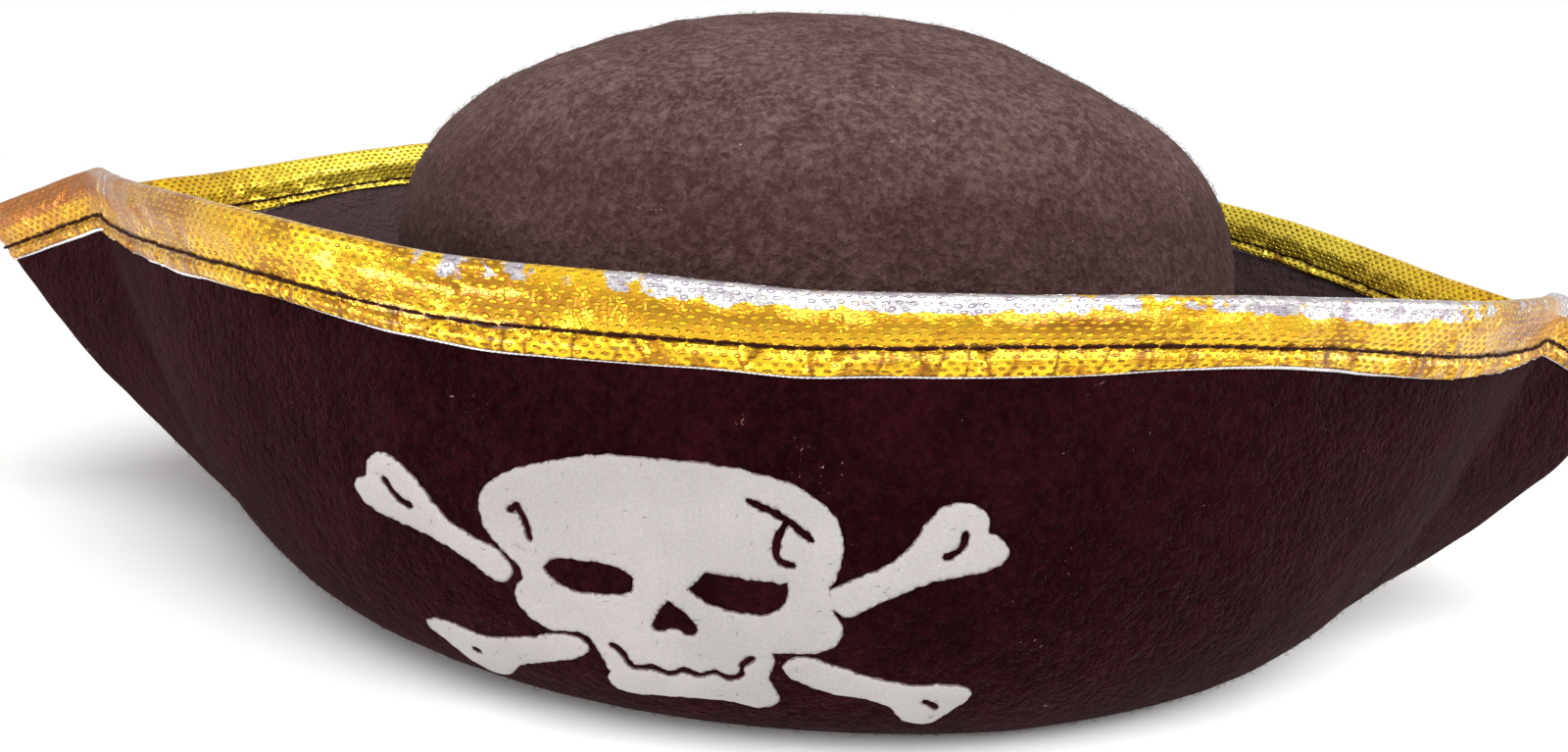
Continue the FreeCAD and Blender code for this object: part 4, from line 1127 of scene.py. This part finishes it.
# Name, place, power and colour of each softbox
SOFTBOXES = (("left_softbox", (-1.0, -1.0, 0.14), 21, (1.0, 0.96, 0.97)),
             ("right_softbox", (1.35, -0.15, 0.6), 9, (1.0, 0.97, 0.96)))
CAMERA_PLACE = (0.00283, -0.2800, 0.0860)
CAMERA_YAW, CAMERA_PITCH, CAMERA_ROLL = 1.57, 8.77, -4.43
CAMERA_LENS, SENSOR_WIDTH, CAMERA_SHIFT = 25.77, 36.0, (-0.0023, -0.0033)


def add_floor(material):
    mesh = bpy.data.meshes.new("studio_floor")
    work = bmesh.new()
    bmesh.ops.create_circle(work, cap_ends=True, segments=96, radius=FLOOR_RADIUS)
    work.to_mesh(mesh)
    work.free()
    mesh.materials.append(material)
    floor = add_object("studio_floor", mesh)
    floor.location.z = -FLOOR_DROP


def add_light(name, place, power, colour):
    lamp = bpy.data.lights.new(name, "AREA")
    lamp.shape = "RECTANGLE"
    lamp.size, lamp.size_y = SOFTBOX_SIZE, SOFTBOX_SIZE
    lamp.energy = power
    lamp.color = colour
    lamp.specular_factor = 0.3
    item = add_object(name, lamp)
    item.location = place
    item.rotation_euler = (LIGHT_TARGET - Vector(place)).to_track_quat("-Z", "Y").to_euler()


def add_sky():
    """A soft glow: strong as seen by the camera, weaker in reflections, weakest as light."""
    world = bpy.data.worlds.new("studio")
    bpy.context.scene.world = world
    world.use_nodes = True
    nodes, links = world.node_tree.nodes, world.node_tree.links
    nodes.remove(nodes["Background"])
    ray = nodes.new("ShaderNodeLightPath")

    def glow(colour, strength):
        made = nodes.new("ShaderNodeBackground")
        made.inputs["Color"].default_value = (*colour, 1.0)
        made.inputs["Strength"].default_value = strength
        return made.outputs[0]

    def choose(test, usual, other):
        made = nodes.new("ShaderNodeMixShader")
        for socket, source in zip(made.inputs, (ray.outputs[test], usual, other)):
            links.new(source, socket)
        return made.outputs[0]

    fill, shine = glow(SKY_COLOUR, FILL_STRENGTH), glow(SKY_COLOUR, SHINE_STRENGTH)
    lit = choose("Is Glossy Ray", fill, shine)
    chosen = choose("Is Camera Ray", lit, glow(WHITE, 1.0))
    links.new(chosen, nodes["World Output"].inputs["Surface"])


def add_studio():
    add_sky()
    sun = bpy.data.lights.new("sky_softbox", "SUN")
    sun.energy = SUN_ENERGY
    sun.angle = math.radians(SUN_SPREAD)
    add_object("sky_softbox", sun).rotation_euler = [math.radians(turn) for turn in SUN_TILT]
    for softbox in SOFTBOXES:
        add_light(*softbox)
    add_floor(floor_material())


def add_camera():
    data = bpy.data.cameras.new("camera")
    data.sensor_fit = "HORIZONTAL"
    data.sensor_width = SENSOR_WIDTH
    data.lens = CAMERA_LENS
    data.shift_x, data.shift_y = CAMERA_SHIFT
    data.clip_start = 0.01
    camera = add_object("camera", data)
    camera.matrix_world = Matrix.Translation(CAMERA_PLACE)
    for angle, axis in ((CAMERA_YAW, "Z"), (-CAMERA_PITCH, "X"), (CAMERA_ROLL, "Y"), (90, "X")):
        camera.matrix_world @= Matrix.Rotation(math.radians(angle), 4, axis)
    bpy.context.scene.camera = camera


# ---- The hat ----
def build_hat():
    # The fourth colour of each felt is painted light and shade: on the crown its painted shade
    # towards the foot, on the brim the painted light of its inner face.
    crown_felt = felt_material(
        "crown_felt", (0.045, 0.024, 0.023), (0.205, 0.131, 0.124), (0.40, 0.33, 0.31),
        (0.030, 0.012, 0.010), 0.16, 0.42, 0.06, (0.85, 0.64, 0.60))
    brim_felt = felt_material(
        "brim_felt", (0.0050, 0.0002, 0.0007), (0.024, 0.0032, 0.0048), (0.30, 0.18, 0.18),
        (0.105, 0.066, 0.070), 0.26, 0.32, 0.05, (0.95, 0.62, 0.62))
    flaps = Flaps()
    add_brim(flaps, brim_felt)
    add_crown(crown_felt)
    add_fuzz("crown_fuzz", crown_grid(0.0), 14000, 1.7, 91, crown_felt)
    below_tape = flaps.grid[::2, 6:int(PROFILE_SAMPLES * 0.86)]
    add_fuzz("brim_fuzz", below_tape, 9000, 1.3, 92, brim_felt)
    outer, inner = add_binding(
        flaps, foil_material(),
        cloth_material("backing_cloth", (0.70, 0.69, 0.72), (0.90, 0.89, 0.90), 900.0, 0.75))
    add_threads(flaps, outer, inner, thread_material())
    add_sweatband(cloth_material(
        "sweatband_cloth", (0.012, 0.012, 0.014), (0.045, 0.045, 0.050), 620.0, 0.7))
    add_prints(flaps, print_material())


build_hat()
add_studio()
add_camera()
bpy.context.scene.view_settings.view_transform = "Standard"
